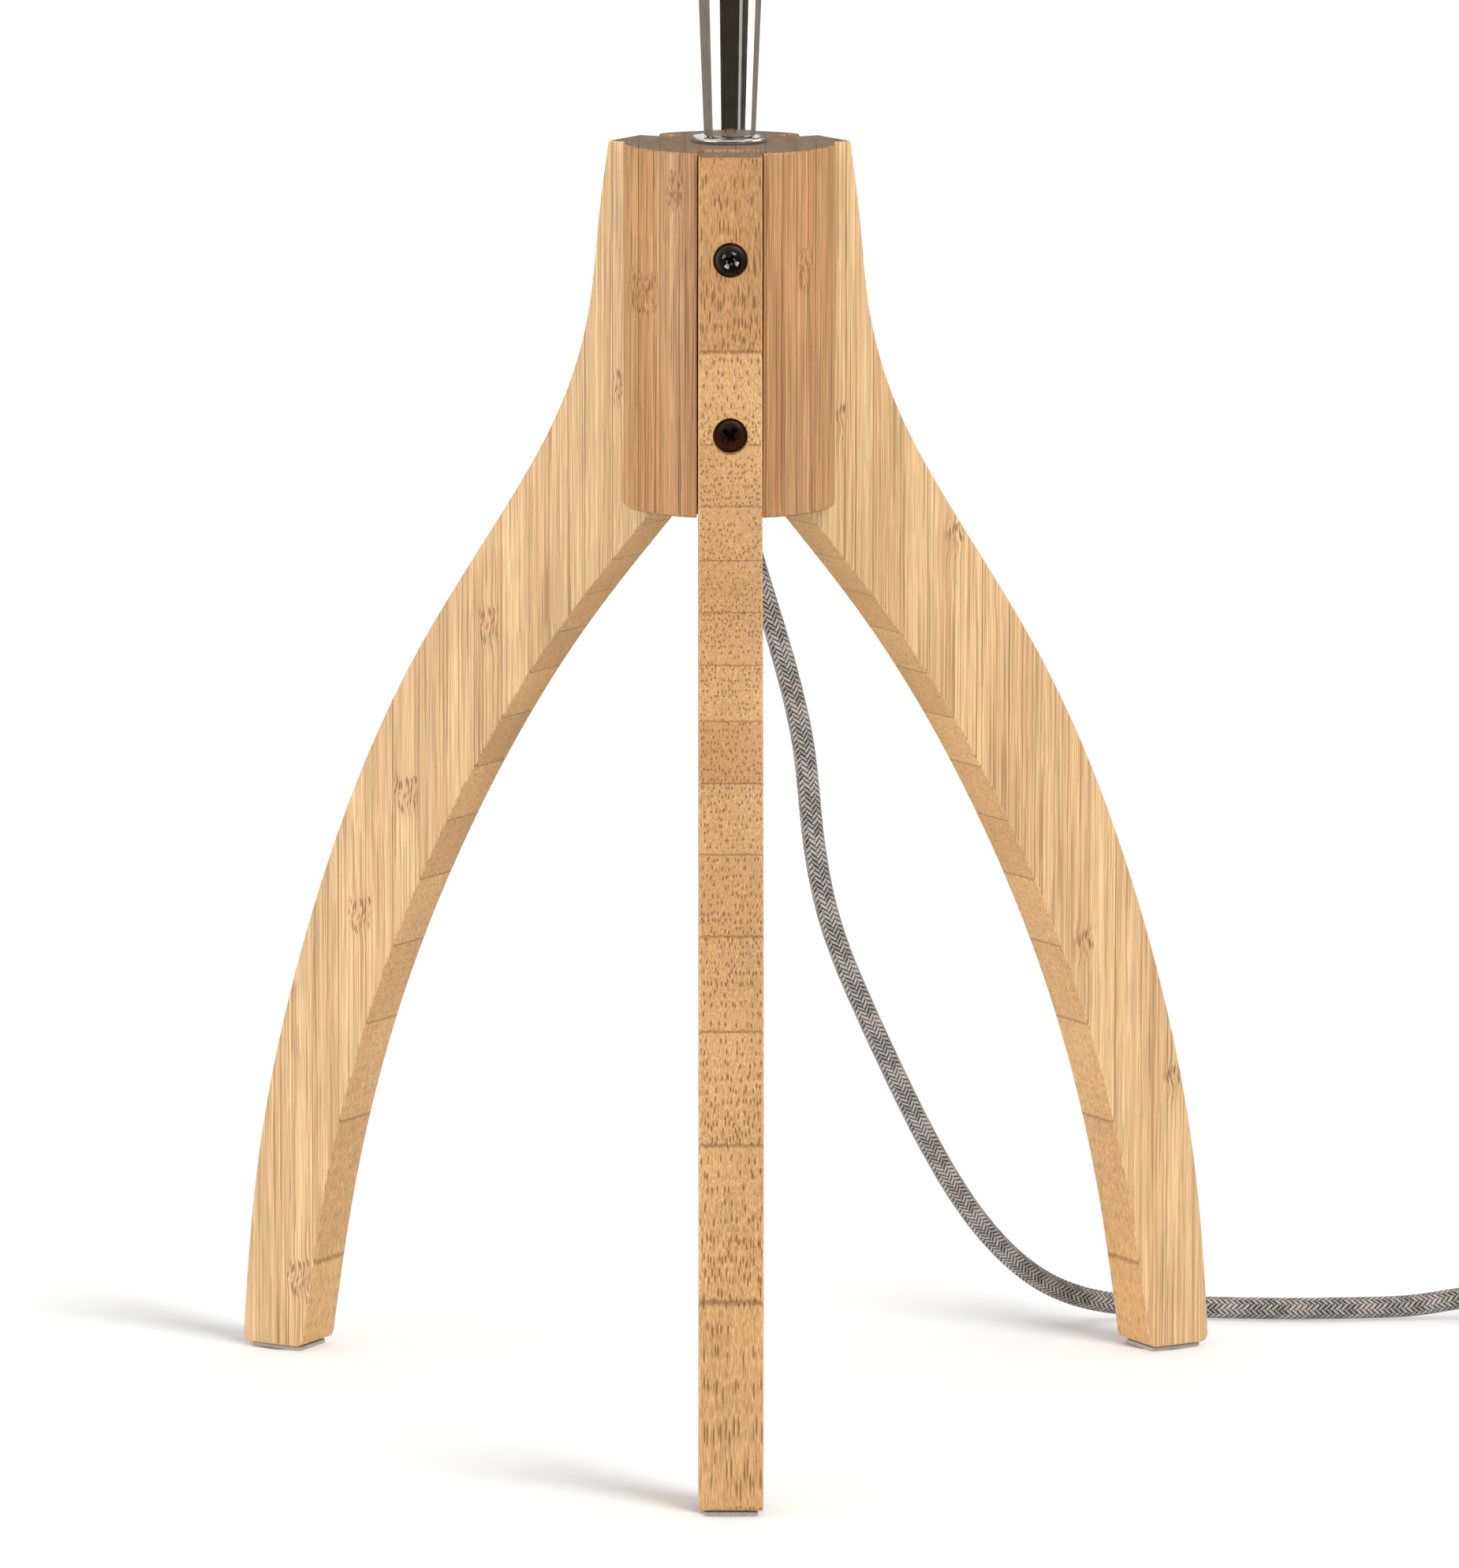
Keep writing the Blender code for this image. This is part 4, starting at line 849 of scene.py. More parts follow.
def make_legs():
    """Three legs cut from laminated board, with rounded edges and counterbored screw holes."""
    flat = rotation(90.0, "X")
    for side, degrees in LEG_AZIMUTHS.items():
        leg = prism(f"leg_{side}_board", leg_outline(), -LEG_THICKNESS / 2.0, LEG_THICKNESS / 2.0)
        place(leg, flat)
        bevel(leg, LEG_EDGE_ROUND, 3, 50.0)
        combine(leg, [counterbore(*row) for row in SCREW_ROWS.values()])
        keep_coordinates(leg, Matrix.Identity(4), LEG_SEEDS[side])
        place(leg, rotation(degrees))
        shade(leg, 30.0)
        strips = (STRIP_START * 1000.0, STRIP_WIDTH * 1000.0)
        wood = bamboo(f"bamboo_{side}", strips, LEG_KNOTS[side], flip=(4, 5, 7, 9), tone=BOARD_TONE,
                      tints=LEG_TINTS[side], cut_tone=CUT_TONES[side], pores=1.0 if side == "front" else 0.45)
        show(leg, wood, "bamboo", f"leg_{side}")
        # The leg tops get the same dark end grain, which is partly painted shade of the lampshade above.
        paint_faces(leg, bamboo(f"bamboo_end_{side}", strips, end_grain_and_painted_shade=True),
                    [abs(face.normal.z) > 0.9 and face.center.z > LEG_TOP_Z - 0.001
                     for face in leg.data.polygons])


def make_hub():
    """Turned hub: three slots, softened rims, bore and counterbored underside; end grain above and below, its
    dark tone partly painted shade of the lampshade above.
    """
    outline = []
    mouth = math.asin(SLOT_WIDTH / 2.0 / HUB_R)
    azimuths = sorted(math.radians(a) for a in LEG_AZIMUTHS.values())
    for i, azimuth in enumerate(azimuths):
        away = Vector((math.cos(azimuth), math.sin(azimuth)))
        across = Vector((-away.y, away.x))
        outline += [tuple(away * SLOT_FLOOR_R - across * SLOT_WIDTH / 2.0),
                    tuple(away * SLOT_FLOOR_R + across * SLOT_WIDTH / 2.0)]
        start = azimuth + mouth
        end = azimuths[(i + 1) % 3] - mouth + (math.tau if i == 2 else 0.0)
        steps = 56
        outline += [(HUB_R * math.cos(a), HUB_R * math.sin(a))
                    for a in (start + (end - start) * k / steps for k in range(steps + 1))]
    hub = prism("hub_block", outline, HUB_BOTTOM_Z, HUB_TOP_Z)
    close = 0.0001
    weights = hub.data.attributes.new("bevel_weight_edge", "FLOAT", "EDGE")
    for edge in hub.data.edges:
        a, b = (hub.data.vertices[i].co for i in edge.vertices)
        on_rim = min(a.xy.length, b.xy.length) > HUB_R - close
        level = abs(a.z - b.z) < close
        slot_edge = level and not on_rim
        mouth_edge = not level and on_rim and abs(abs(aside_of_slot(a)) - SLOT_WIDTH / 2.0) < 2.0 * close
        weights.data[edge.index].value = 1.0 if level and on_rim else 0.3 if slot_edge or mouth_edge else 0.0
    mod = hub.modifiers.new("bevel", "BEVEL")
    mod.width, mod.segments, mod.limit_method = 0.0011, 4, "WEIGHT"
    apply_modifiers(hub)
    combine(hub, [drill(TUBE_HOLE_R, 0.2, 0.5, 48), drill(RECESS_R, 0.2, RECESS_TOP_Z, 64)])
    keep_coordinates(hub, Matrix.Identity(4), 5.0)
    shade(hub, 32.0)
    show(hub, bamboo("bamboo_hub", HUB_EDGES, HUB_KNOTS, tints=HUB_TINTS, tone=HUB_TONE_WITH_PAINTED_SHADE), "bamboo", "hub")
    # Faces looking up and down get the dark end grain, partly painted shade of the lampshade above.
    paint_faces(hub, bamboo("bamboo_end", HUB_EDGES, end_grain_and_painted_shade=True),
                [abs(face.normal.z) > 0.75 for face in hub.data.polygons])


def aside_of_slot(point):
    """Sideways distance of a point from the middle plane of the nearest slot."""
    best = 1.0
    for degrees in LEG_AZIMUTHS.values():
        a = math.radians(degrees)
        if point.x * math.cos(a) + point.y * math.sin(a) > 0.0:
            aside = -point.x * math.sin(a) + point.y * math.cos(a)
            best = aside if abs(aside) < abs(best) else best
    return best


def frustum(name, top, bottom, depth):
    """Tapered block hanging down from the origin: top and bottom are (length, width)."""
    verts = []
    for (length, width), z in ((top, 0.0004), (bottom, -depth)):
        verts += [(x, y, z) for x, y in rectangle(length, width)]
    faces = [(0, 1, 2, 3), (7, 6, 5, 4), (0, 4, 5, 1), (1, 5, 6, 2), (2, 6, 7, 3), (3, 7, 4, 0)]
    obj = from_faces(name, verts, faces)
    outward(obj)
    return obj


def make_leg_screws():
    """Cross-head wood screws: low domed heads, the upper ones' cross painted near-white as driver wear with a
    painted highlight.
    """
    wing = ((0.0052, 0.0014), (0.0026, 0.0009), 0.0024)
    core = ((0.0025, 0.0025), (0.0011, 0.0011), 0.0027)
    cross_half, cross_reach, cross_floor = 0.0010, 0.0027, -0.0007       # where the bright cross lies: driver wear with a painted highlight
    for index, (side, degrees) in enumerate(LEG_AZIMUTHS.items()):
        for row, (height, face_r) in SCREW_ROWS.items():
            dome, reach = 0.0006, SCREW_HEAD_R - 0.0002
            head = [(0.0, dome), (0.0016, dome * 0.93), (0.0030, dome * 0.66), (0.0038, dome * 0.24),
                    (reach - 0.0003, 0.0), (reach, -0.0004), (reach, -0.0012),
                    (0.0021, -SCREW_HEAD_H), (0.0020, -0.0060), (0.0020, -0.026), (0.0, -0.0292)]
            screw = lathe(f"screw_{side}_{row}", head, steps=64, closed=False)
            spin = 62.0 + 23.0 * index if row == "upper" else 50.0 + 31.0 * index
            cutters = [place(frustum("cutter", *shape), shift_by(0, 0, dome * 0.6) @ rotation(turn + spin))
                       for shape, turn in ((wing, 0.0), (wing, 90.0), (core, 45.0))]
            combine(screw, cutters)
            bevel(screw, 0.00030, 2, 40.0)
            shade(screw, 40.0)
            square = rotation(-spin)
            # The upper screws' sloping cross walls are painted near-white: driver wear with a painted
            # highlight.
            worn = []
            for face in screw.data.polygons:
                near, far = sorted(abs(c) for c in (square @ face.center).xy)
                sloping = 0.10 < face.normal.z < 0.97
                worn.append(row == "upper" and sloping and near < cross_half and far < cross_reach
                            and face.center.z > cross_floor)
            place(screw, rotation(degrees) @ shift_by(0, 0, height)
                  @ rotation(90.0, "Y") @ shift_by(0, 0, face_r))
            steel = BLACK_STEEL if row == "upper" else BROWN_STEEL
            show(screw, steel, "black_steel", f"leg_screw_{side}_{row}")
            paint_faces(screw, WORN_STEEL_AND_HIGHLIGHT, worn)


def make_foot_pads():
    """Felt pads with softened edges under the feet."""
    for side, degrees in LEG_AZIMUTHS.items():
        outline = soften(rectangle(0.0170, 0.0150), 0.0014, 5)
        pad = prism(f"pad_{side}", outline, 0.0, PAD_THICKNESS)
        bevel(pad, 0.00025, 2, 50.0)
        place(pad, rotation(degrees) @ shift_by(FOOT_MIDDLE_R, 0, 0))
        show(pad, FELT, "pad_felt", f"foot_pad_{side}")


# ---------------------------------------------------------------- stem and lampholder
def make_stem():
    """Polished flange, flared neck and cup."""
    low, high = HUB_TOP_Z + GAP, HUB_TOP_Z + GAP + 0.0012
    flange = lathe("flange_disc", soften([
        (TUBE_HOLE_R, high), (0.0108, high), (0.0111, (low + high) / 2.0), (0.0108, low), (TUBE_HOLE_R, low),
    ], 0.0003), steps=128)
    show(flange, CHROME, "chrome", "flange")
    base, top, wall = high + GAP, 0.4520, 0.0009
    base_r = 0.00735
    top_r = base_r + 0.0403 * (top - base)
    flare = (top_r - base_r) / (top - base)
    lip = 0.0003
    outer = [(base_r + flare * (z - base), z) for z in reversed(levels(base + lip, top - lip, 0.004))]
    outer.insert(1, (outer[0][0] - flare * lip, outer[0][1] - lip))
    outer.insert(-1, (outer[-1][0] + flare * lip, outer[-1][1] + lip))
    inner = [(r - wall, z) for r, z in (outer[-1], outer[0])]
    low_rim = [(base_r - lip, base), (inner[0][0] + lip, base)]
    neck = lathe("neck_sleeve", [(top_r - lip, top)] + outer + low_rim + inner + [(inner[1][0] + lip, top)],
                 steps=160, degrees=25.0)
    show(neck, CHROME, "chrome", "neck")
    floor = top + GAP
    cup = lathe("neck_cup_spun", soften([
        (0.0193, 0.4640), (0.0202, 0.4640), (0.0199, floor + 0.0090), (0.0191, floor + 0.0060),
        (0.0172, floor + 0.0030), (0.0146, floor + 0.0009), (0.0120, floor), (TUBE_HOLE_R, floor),
        (TUBE_HOLE_R, floor + 0.0012), (0.0118, floor + 0.0012), (0.0142, floor + 0.0021),
        (0.0168, floor + 0.0045), (0.0187, floor + 0.0080),
    ], 0.0009), steps=160)
    show(cup, CHROME, "chrome", "neck_cup")


def ribbed(count, depth, low, high):
    """Radius rule for vertical grip ribs between two heights."""
    def rule(radius, height, angle):
        if low < height < high:
            return radius - depth * (0.5 - 0.5 * math.cos(count * angle)) ** 2
        return radius
    return rule


def threaded(pitch, depth, low, high, mean):
    """Radius rule for a round thread on the surface near the mean radius."""
    def rule(radius, height, angle):
        if low <= height <= high and abs(radius - mean) < 0.0012:
            fade = min(1.0, (height - low) / 0.001, (high - height) / 0.001)
            return radius + depth * fade * math.cos(math.tau * (height / pitch) - angle)
        return radius
    return rule


def levels(low, high, step):
    count = max(1, int(round((high - low) / step)))
    return [low + (high - low) * i / count for i in range(count + 1)]


def make_lampholder():
    """Black holder: plain cap, ribbed shell with a shoulder and a thread, and the clamp ring on it."""
    base = 0.4538
    cap = lathe("holder_cap_moulded", soften([
        (0.0179, 0.4720), (0.0195, 0.4720), (0.0195, 0.4660), (0.0188, 0.4645), (0.0181, base + 0.0065),
        (0.0162, base + 0.0031), (0.0138, base + 0.0008), (0.0112, base), (TUBE_HOLE_R, base),
        (TUBE_HOLE_R, base + 0.0070), (0.0080, base + 0.0070), (0.0080, base + 0.0020),
        (0.0128, base + 0.0026), (0.0160, base + 0.0062),
    ], 0.0005), steps=144)
    show(cap, BLACK_PLASTIC, "black_plastic", "holder_cap")
    low = 0.4723
    outer = [(0.0188, z) for z in reversed(levels(0.4906, 0.5090, 0.00025))]
    wall = [(0.0195, z) for z in reversed(levels(low + 0.0006, 0.4856, 0.0010))]
    shoulder = [(0.0190, 0.4900), (0.0213, 0.4900), (0.0215, 0.4898), (0.0215, 0.4882), (0.0213, 0.4879),
                (0.0196, 0.4864)]
    bore = [(0.0193, low), (0.0170, low), (0.0170, 0.5050), (0.0146, 0.5065), (0.0145, 0.5096)]
    ribs, thread = ribbed(48, 0.0004, low + 0.0015, 0.4852), threaded(0.0030, 0.00045, 0.4906, 0.5090, 0.0188)
    profile = [(0.0147, 0.5100), (0.0184, 0.5100)] + outer + shoulder + wall + bore
    shell = lathe("holder_shell_moulded", profile, steps=144,
                  radius_at=lambda r, z, a: ribs(thread(r, z, a), z, a) if r > 0.018 else r)
    show(shell, BLACK_PLASTIC, "black_plastic", "holder_shell")
    foot = 0.4918 + GAP
    crown = [(0.0197, foot + 0.0060), (0.0226, foot + 0.0060), (0.0232, foot + 0.0057)]
    grip = [(0.0236, z) for z in reversed(levels(foot + 0.0008, foot + 0.0050, 0.0007))]
    grips = ribbed(30, 0.0006, foot + 0.0004, foot + 0.0054)
    rim = [(0.0232, foot + 0.0003), (0.0228, foot), (0.0197, foot)]
    ring = lathe("clamp_ring_moulded", crown + grip + rim, steps=240,
                 radius_at=lambda r, z, a: grips(r, z, a) if r > 0.021 else r)
    show(ring, BLACK_PLASTIC, "black_plastic", "clamp_ring", body="ring")


def make_bulb():
    """LED bulb: threaded cap, white body that widens upward, opal dome."""
    cap_top, cap_low = 0.5125, 0.4926
    crest = [(0.01275, z) for z in reversed(levels(cap_low + 0.0016, cap_top - 0.0016, 0.0003))]
    thread = threaded(0.00363, 0.00040, cap_low + 0.0012, cap_top - 0.0014, 0.01275)
    cap = lathe("bulb_cap_rolled", [(0.0116, cap_top), (0.0124, cap_top)] + crest
                + [(0.0122, cap_low + 0.0008), (0.0118, cap_low), (0.0114, cap_low)], steps=96,
                radius_at=lambda r, z, a: thread(r, z, a) if r > 0.0123 else r)
    show(cap, NICKEL, "zinc_steel", "bulb_cap", body="bulb")
    foot = cap_top + GAP
    body = lathe("bulb_body_moulded", soften([
        (0.0, 0.5395), (0.0248, 0.5395), (0.0262, 0.5385), (0.0259, 0.5355), (0.0250, 0.5315),
        (0.0232, 0.5265), (0.0206, 0.5220), (0.0178, 0.5185), (0.0160, 0.5160), (0.0149, 0.5140),
        (0.0146, foot), (0.0, foot),
    ], 0.0012, closed=False), steps=144, closed=False)
    show(body, WHITE_PLASTIC, "white_plastic", "bulb_body", body="bulb")
    globe_r, globe_z, wall = 0.0300, 0.5610, 0.0010
    sweep_down, steps = 131.2, 40        # degrees from the top of the dome to its rim
    angles = [math.radians(90.0 - i * sweep_down / steps) for i in range(steps + 1)]
    outer, inner = ([(r * math.cos(a), globe_z + r * math.sin(a)) for a in angles]
                    for r in (globe_r, globe_r - wall))
    outer[0], inner[0] = (0.0, outer[0][1]), (0.0, inner[0][1])
    dome = lathe("bulb_dome", outer + inner[::-1], steps=128, closed=False)
    show(dome, OPAL, "frosted_globe", "bulb_globe", body="bulb")


# ---------------------------------------------------------------- shade
SHADE_LOW, SHADE_HIGH = 0.4400, 0.6400
SHADE_LOW_R, SHADE_HIGH_R, SHADE_SKIN = 0.1600, 0.1300, 0.0009


def shade_radius(height):
    return SHADE_LOW_R + (SHADE_HIGH_R - SHADE_LOW_R) * (height - SHADE_LOW) / (SHADE_HIGH - SHADE_LOW)


def weave_coordinates(obj):
    """Stores the distance round and the height, in millimetres, on each face corner."""
    mesh = obj.data
    layer = mesh.attributes.new("wrap", "FLOAT_VECTOR", "CORNER")
    values = []
    for face in mesh.polygons:
        middle = math.atan2(face.center.y, face.center.x)
        for corner in face.loop_indices:
            co = mesh.vertices[mesh.loops[corner].vertex_index].co
            angle = math.atan2(co.y, co.x)
            angle += math.tau * round((middle - angle) / (math.tau))
            values += [angle * 145.0, co.z * 1000.0, 0.0]
    layer.data.foreach_set("vector", values)


def make_shade():
    """Tapered shade: woven skin with a white lining, hem bands, a lapped seam, and its wire frame."""
    heights = levels(SHADE_LOW, SHADE_HIGH, 0.005)

    def unevenness(angle, height):
        return (0.00012 * math.sin(5.0 * angle + 30.0 * height)
                + 0.00008 * math.sin(11.0 * angle - 50.0 * height))

    outer = [(shade_radius(z), z) for z in heights]
    inner = [(shade_radius(z) - SHADE_SKIN, z) for z in reversed(heights)]
    skin = lathe("shade_cloth", outer + inner, steps=192,
                 radius_at=lambda r, z, a: r - 0.0001 + unevenness(a, z))
    weave_coordinates(skin)
    show(skin, LINEN, "linen", "shade_skin", body="shade")
    paint_faces(skin, SHADE_LINING, [face.normal.xy.dot(face.center.xy.normalized()) < -0.5
                                     for face in skin.data.polygons])

    for name, low, high in (("hem_bottom", SHADE_LOW - 0.0004, SHADE_LOW + 0.0090),
                            ("hem_top", SHADE_HIGH - 0.0090, SHADE_HIGH + 0.0004)):
        proud = 0.0005
        hem = lathe(name, soften([
            (shade_radius(high) + proud, high), (shade_radius(low) + proud, low),
            (shade_radius(low) - SHADE_SKIN - proud, low), (shade_radius(high) - SHADE_SKIN - proud, high),
        ], 0.0004, 3), steps=192)
        weave_coordinates(hem)
        show(hem, LINEN, "linen", body="shade")
    seam_at, half = math.radians(62.0), 0.0062
    verts, faces = [], []
    rows = levels(SHADE_LOW + 0.0085, SHADE_HIGH - 0.0085, 0.005)
    for z in rows:
        r = shade_radius(z)
        for offset, lift in ((-half, 0.0), (-half, 0.0004), (half, 0.0004), (half, 0.0)):
            a = seam_at + offset / r
            verts.append(((r + lift) * math.cos(a), (r + lift) * math.sin(a), z))
    for i in range(len(rows) - 1):
        faces += [(4 * i + k, 4 * i + (k + 1) % 4, 4 * i + 4 + (k + 1) % 4, 4 * i + 4 + k) for k in range(4)]
    faces += [(0, 1, 2, 3), tuple(range(4 * len(rows) - 1, 4 * len(rows) - 5, -1))]
    lap = from_faces("shade_lap", verts, faces)
    outward(lap)
    weave_coordinates(lap)
    show(lap, LINEN, "linen", body="shade")

    wire = 0.0015
    for name, node, height in (("ring_top", "shade_top_ring", SHADE_HIGH - 0.0030),
                               ("ring_bottom", "shade_bottom_ring", SHADE_LOW + 0.0030)):
        middle = shade_radius(height) - SHADE_SKIN - wire - 0.0005
        circle = [(middle + wire * math.cos(a), height + wire * math.sin(a))
                  for a in (math.tau * k / 14 for k in range(14))]
        show(lathe(name, circle, steps=160, degrees=60.0), ZINC, "zinc_steel", node, body="shade")
    seat = 0.4903
    carrier = lathe("carrier_frame", soften([
        (0.0200, seat + 0.0015), (0.0250, seat + 0.0015), (0.0250, seat), (0.0200, seat),
    ], 0.0003, 3), steps=120)
    ring_z = SHADE_LOW + 0.0030
    arm_end = shade_radius(ring_z) - SHADE_SKIN - 2.0 * wire - 0.0005
    arms = []
    for i in range(3):
        route = smooth_through([(0.0236, 0, seat + 0.0008), (0.0400, 0, seat + 0.0008),
                                (0.0900, 0, seat - 0.0180), (arm_end, 0, ring_z)], 0.0035)
        arm = sweep(f"arm_{i + 1}", route, wire - 0.0001, around=14)
        arms.append(place(arm, rotation(-30.0 + 120.0 * i)))
    combine(carrier, arms, "UNION")
    shade(carrier, 45.0)
    show(carrier, ZINC, "zinc_steel", "shade_carrier", body="shade")


# ---------------------------------------------------------------- cord and what is on it
def make_boot():
    """Strain relief: collar and a ribbed, tapered tail."""
    end, direction = boot_end()
    top, low = TUBE_BOTTOM_Z + 0.0050, TUBE_BOTTOM_Z - 0.0036
    collar = lathe("boot_collar", soften([
        (0.0, TUBE_BOTTOM_Z - GAP), (TUBE_HOLE_R, TUBE_BOTTOM_Z - GAP), (TUBE_HOLE_R, top), (0.0080, top),
        (0.0080, low), (0.0, low),
    ], 0.0009, closed=False), steps=72, closed=False)
    tail_profile = [(0.0, 0.0)]
    for i in range(61):
        down = BOOT_TAIL * i / 60.0
        groove = 0.00045 * (0.5 + 0.5 * math.cos(math.tau * down / 0.0032)) if down > 0.004 else 0.0
        tail_profile.append((0.0048 - 0.0010 * i / 60.0 - groove, -down))
    tail_profile.append((0.0, -BOOT_TAIL))
    tail = lathe("boot_tail", tail_profile, steps=64, closed=False)
    lean = direction.to_track_quat("-Z", "Y").to_matrix().to_4x4()
    place(tail, Matrix.Translation(end - direction * BOOT_TAIL) @ lean)
    combine(collar, [tail], "UNION")
    shade(collar, 45.0)
    show(collar, GREY_PLASTIC, "grey_plastic", "cord_boot")


def make_switch():
    """In-line switch: rounded halves with a seam, a ridged rocker and two screw holes below."""
    length, width, height = SWITCH_SIZE
    split = 0.0078
    corner = soften(rectangle(length, width), 0.0065, 8)
    lower = prism("switch_base", corner, 0.0, split)
    bevel(lower, 0.0014, 3, 60.0)
    for side in (-1.0, 1.0):
        combine(lower, [place(drill(0.0028, -0.001, 0.0024, 32), shift_by(side * 0.0255, 0, 0))])
    upper = prism("switch_cover", corner, split + GAP, height)
    bevel(upper, 0.0022, 5, 60.0)
    combine(upper, [box_mesh("well", (0.0240, 0.0140, 0.0400), (0, 0, 0.0250))])
    for obj, node in ((lower, "switch_lower"), (upper, "switch_upper")):
        place(obj, Matrix.Translation(SWITCH_CENTRE))
        shade(obj, 40.0)
        show(obj, GREY_PLASTIC, "grey_plastic", node)
    outline = [(-0.0112, 0.0024), (-0.0100, -0.0030), (-0.0035, -0.0050), (0.0035, -0.0050),
               (0.0100, -0.0030), (0.0112, 0.0024)]
    top = []
    for i in range(25):
        x = 0.0105 - 0.0210 * i / 24.0
        top.append((x, 0.0012 + 0.0012 * abs(x) / 0.0112 + (0.00025 if i % 2 and abs(x) > 0.0040 else 0.0)))
    rocker = prism("rocker_cap", outline + top, -0.0066, 0.0066)
    bevel(rocker, 0.0003, 2, 50.0)
    place(rocker, Matrix.Translation(SWITCH_CENTRE + Vector((0, 0, height - 0.0024)))
          @ rotation(8.0, "Y") @ rotation(90.0, "X"))
    show(rocker, BLACK_PLASTIC, "black_plastic", "switch_rocker", body="rocker")


def make_plug():
    """Flat two-pin plug with grip ribs, ribbed collar and part-sleeved pins."""
    back_x, plug_y, length, half, height = 0.2760, 0.0376, 0.0350, 0.0175, 0.0137
    side_line = [(0.0, 0.0070), (-0.0120, half), (-0.0270, half), (-length, half - 0.0030)]
    outline = soften([(0.0, -0.0070)] + side_line + [(x, -y) for x, y in side_line[:0:-1]], 0.0030, 5)
    body = prism("plug_moulding", outline, -height / 2.0, height / 2.0)
    bevel(body, 0.0024, 4, 60.0)
    groove = (0.0009, 0.0012, height * 0.62)
    combine(body, [box_mesh("rib", groove, (-0.0140 - 0.0026 * i, side * half, 0.0))
                   for i in range(5) for side in (-1.0, 1.0)])
    profile = [(0.0, -0.004)]
    for i in range(49):
        along = -0.004 + 0.0160 * i / 48.0
        groove = 0.0005 * (0.5 + 0.5 * math.cos(math.tau * along / 0.0030)) if along > 0.0015 else 0.0
        profile.append((0.0060 - 0.0022 * i / 48.0 - groove, along))
    profile.append((0.0, 0.012))
    collar = lathe("collar", profile, steps=64, closed=False)
    combine(body, [place(collar, rotation(90.0, "Y"))], "UNION")
    place(body, shift_by(back_x, plug_y, height / 2.0))
    shade(body, 42.0)
    show(body, GREY_PLASTIC, "grey_plastic", "plug_body")
    for number, side in ((1, -1.0), (2, 1.0)):
        pin = lathe(f"pin_{number}", [
            (0.0, -0.0077), (0.0018, -0.0077), (0.0018, 0.0102), (0.0019, 0.0104), (0.0019, 0.0178),
            (0.0016, 0.0186), (0.0010, 0.01895), (0.0, 0.0190),
        ], steps=48, closed=False)
        sleeved = [f.center.z < 0.0101 for f in pin.data.polygons]
        place(pin, shift_by(back_x - length, plug_y + side * 0.0093, height / 2.0)
              @ rotation(-90.0, "Y"))
        show(pin, NICKEL, "brass", f"plug_pin_{number}")
        paint_faces(pin, BLACK_PLASTIC, sleeved)


def make_tie():
    """Closed strap round the coil's turns, with rounded corners."""
    half_x, height, thick, width, corner = 0.0076, 0.0199, 0.0009, 0.0098, 0.0030
    centre = COIL_CENTRE + Vector(((COIL_OUTER_R + COIL_INNER_R) / 2.0 - 0.0002, 0.0, 0.00005))
    path = soften([(-half_x, 0.0), (half_x, 0.0), (half_x, height), (-half_x, height)], corner, 8)
    verts, faces = [], []
    middle = Vector((0.0, height / 2.0))
    for x, z in path:
        out = (Vector((x, z)) - middle).normalized() * thick
        for y in (-width / 2.0, width / 2.0):
            verts.append((x, y, z + thick))
            verts.append((x + out.x, y, z + out.y + thick))
    count = len(path)
    for i in range(count):
        a, b = 4 * i, 4 * ((i + 1) % count)
        faces += [(a, b, b + 2, a + 2), (a + 1, a + 3, b + 3, b + 1),
                  (a, a + 1, b + 1, b), (a + 2, b + 2, b + 3, a + 3)]
    tie = from_faces("tie_strap", verts, faces)
    outward(tie)
    place(tie, Matrix.Translation(centre))
    show(tie, STRAP, "black_plastic", "coil_tie")


def make_cord():
    """The whole braided cord as one tube, wound round and ending in the plug."""
    line = cord_line()
    cord = sweep("lead", line, CORD_R, around=20)
    show(cord, BRAID, "grey_braid", "cord_run", "cord_link", "cord_coil", "cord_tail")


def finish_cad_nodes():
    """Materials and shading for the CAD parts that show as they are."""
    for material, nodes in (
            (ZINC, ("threaded_tube", "bottom_nut", "bottom_washer", "bulb_contact", "switch_screw_1",
                    "switch_screw_2")),
            (BRASS, ("screw_shell", "centre_contact", "switch_contact")),
            (WHITE_PLASTIC, ("holder_insert", "led_board")), (BLACK_PLASTIC, ("bulb_insulator",)),
            (GREY_PLASTIC, ("inner_lead",)), (BROWN_WIRE, ("wire_live",)), (BLUE_WIRE, ("wire_neutral",))):
        for node in nodes:
            paint(frame["nodes"][node], material)
            shade(frame["nodes"][node], 35.0)


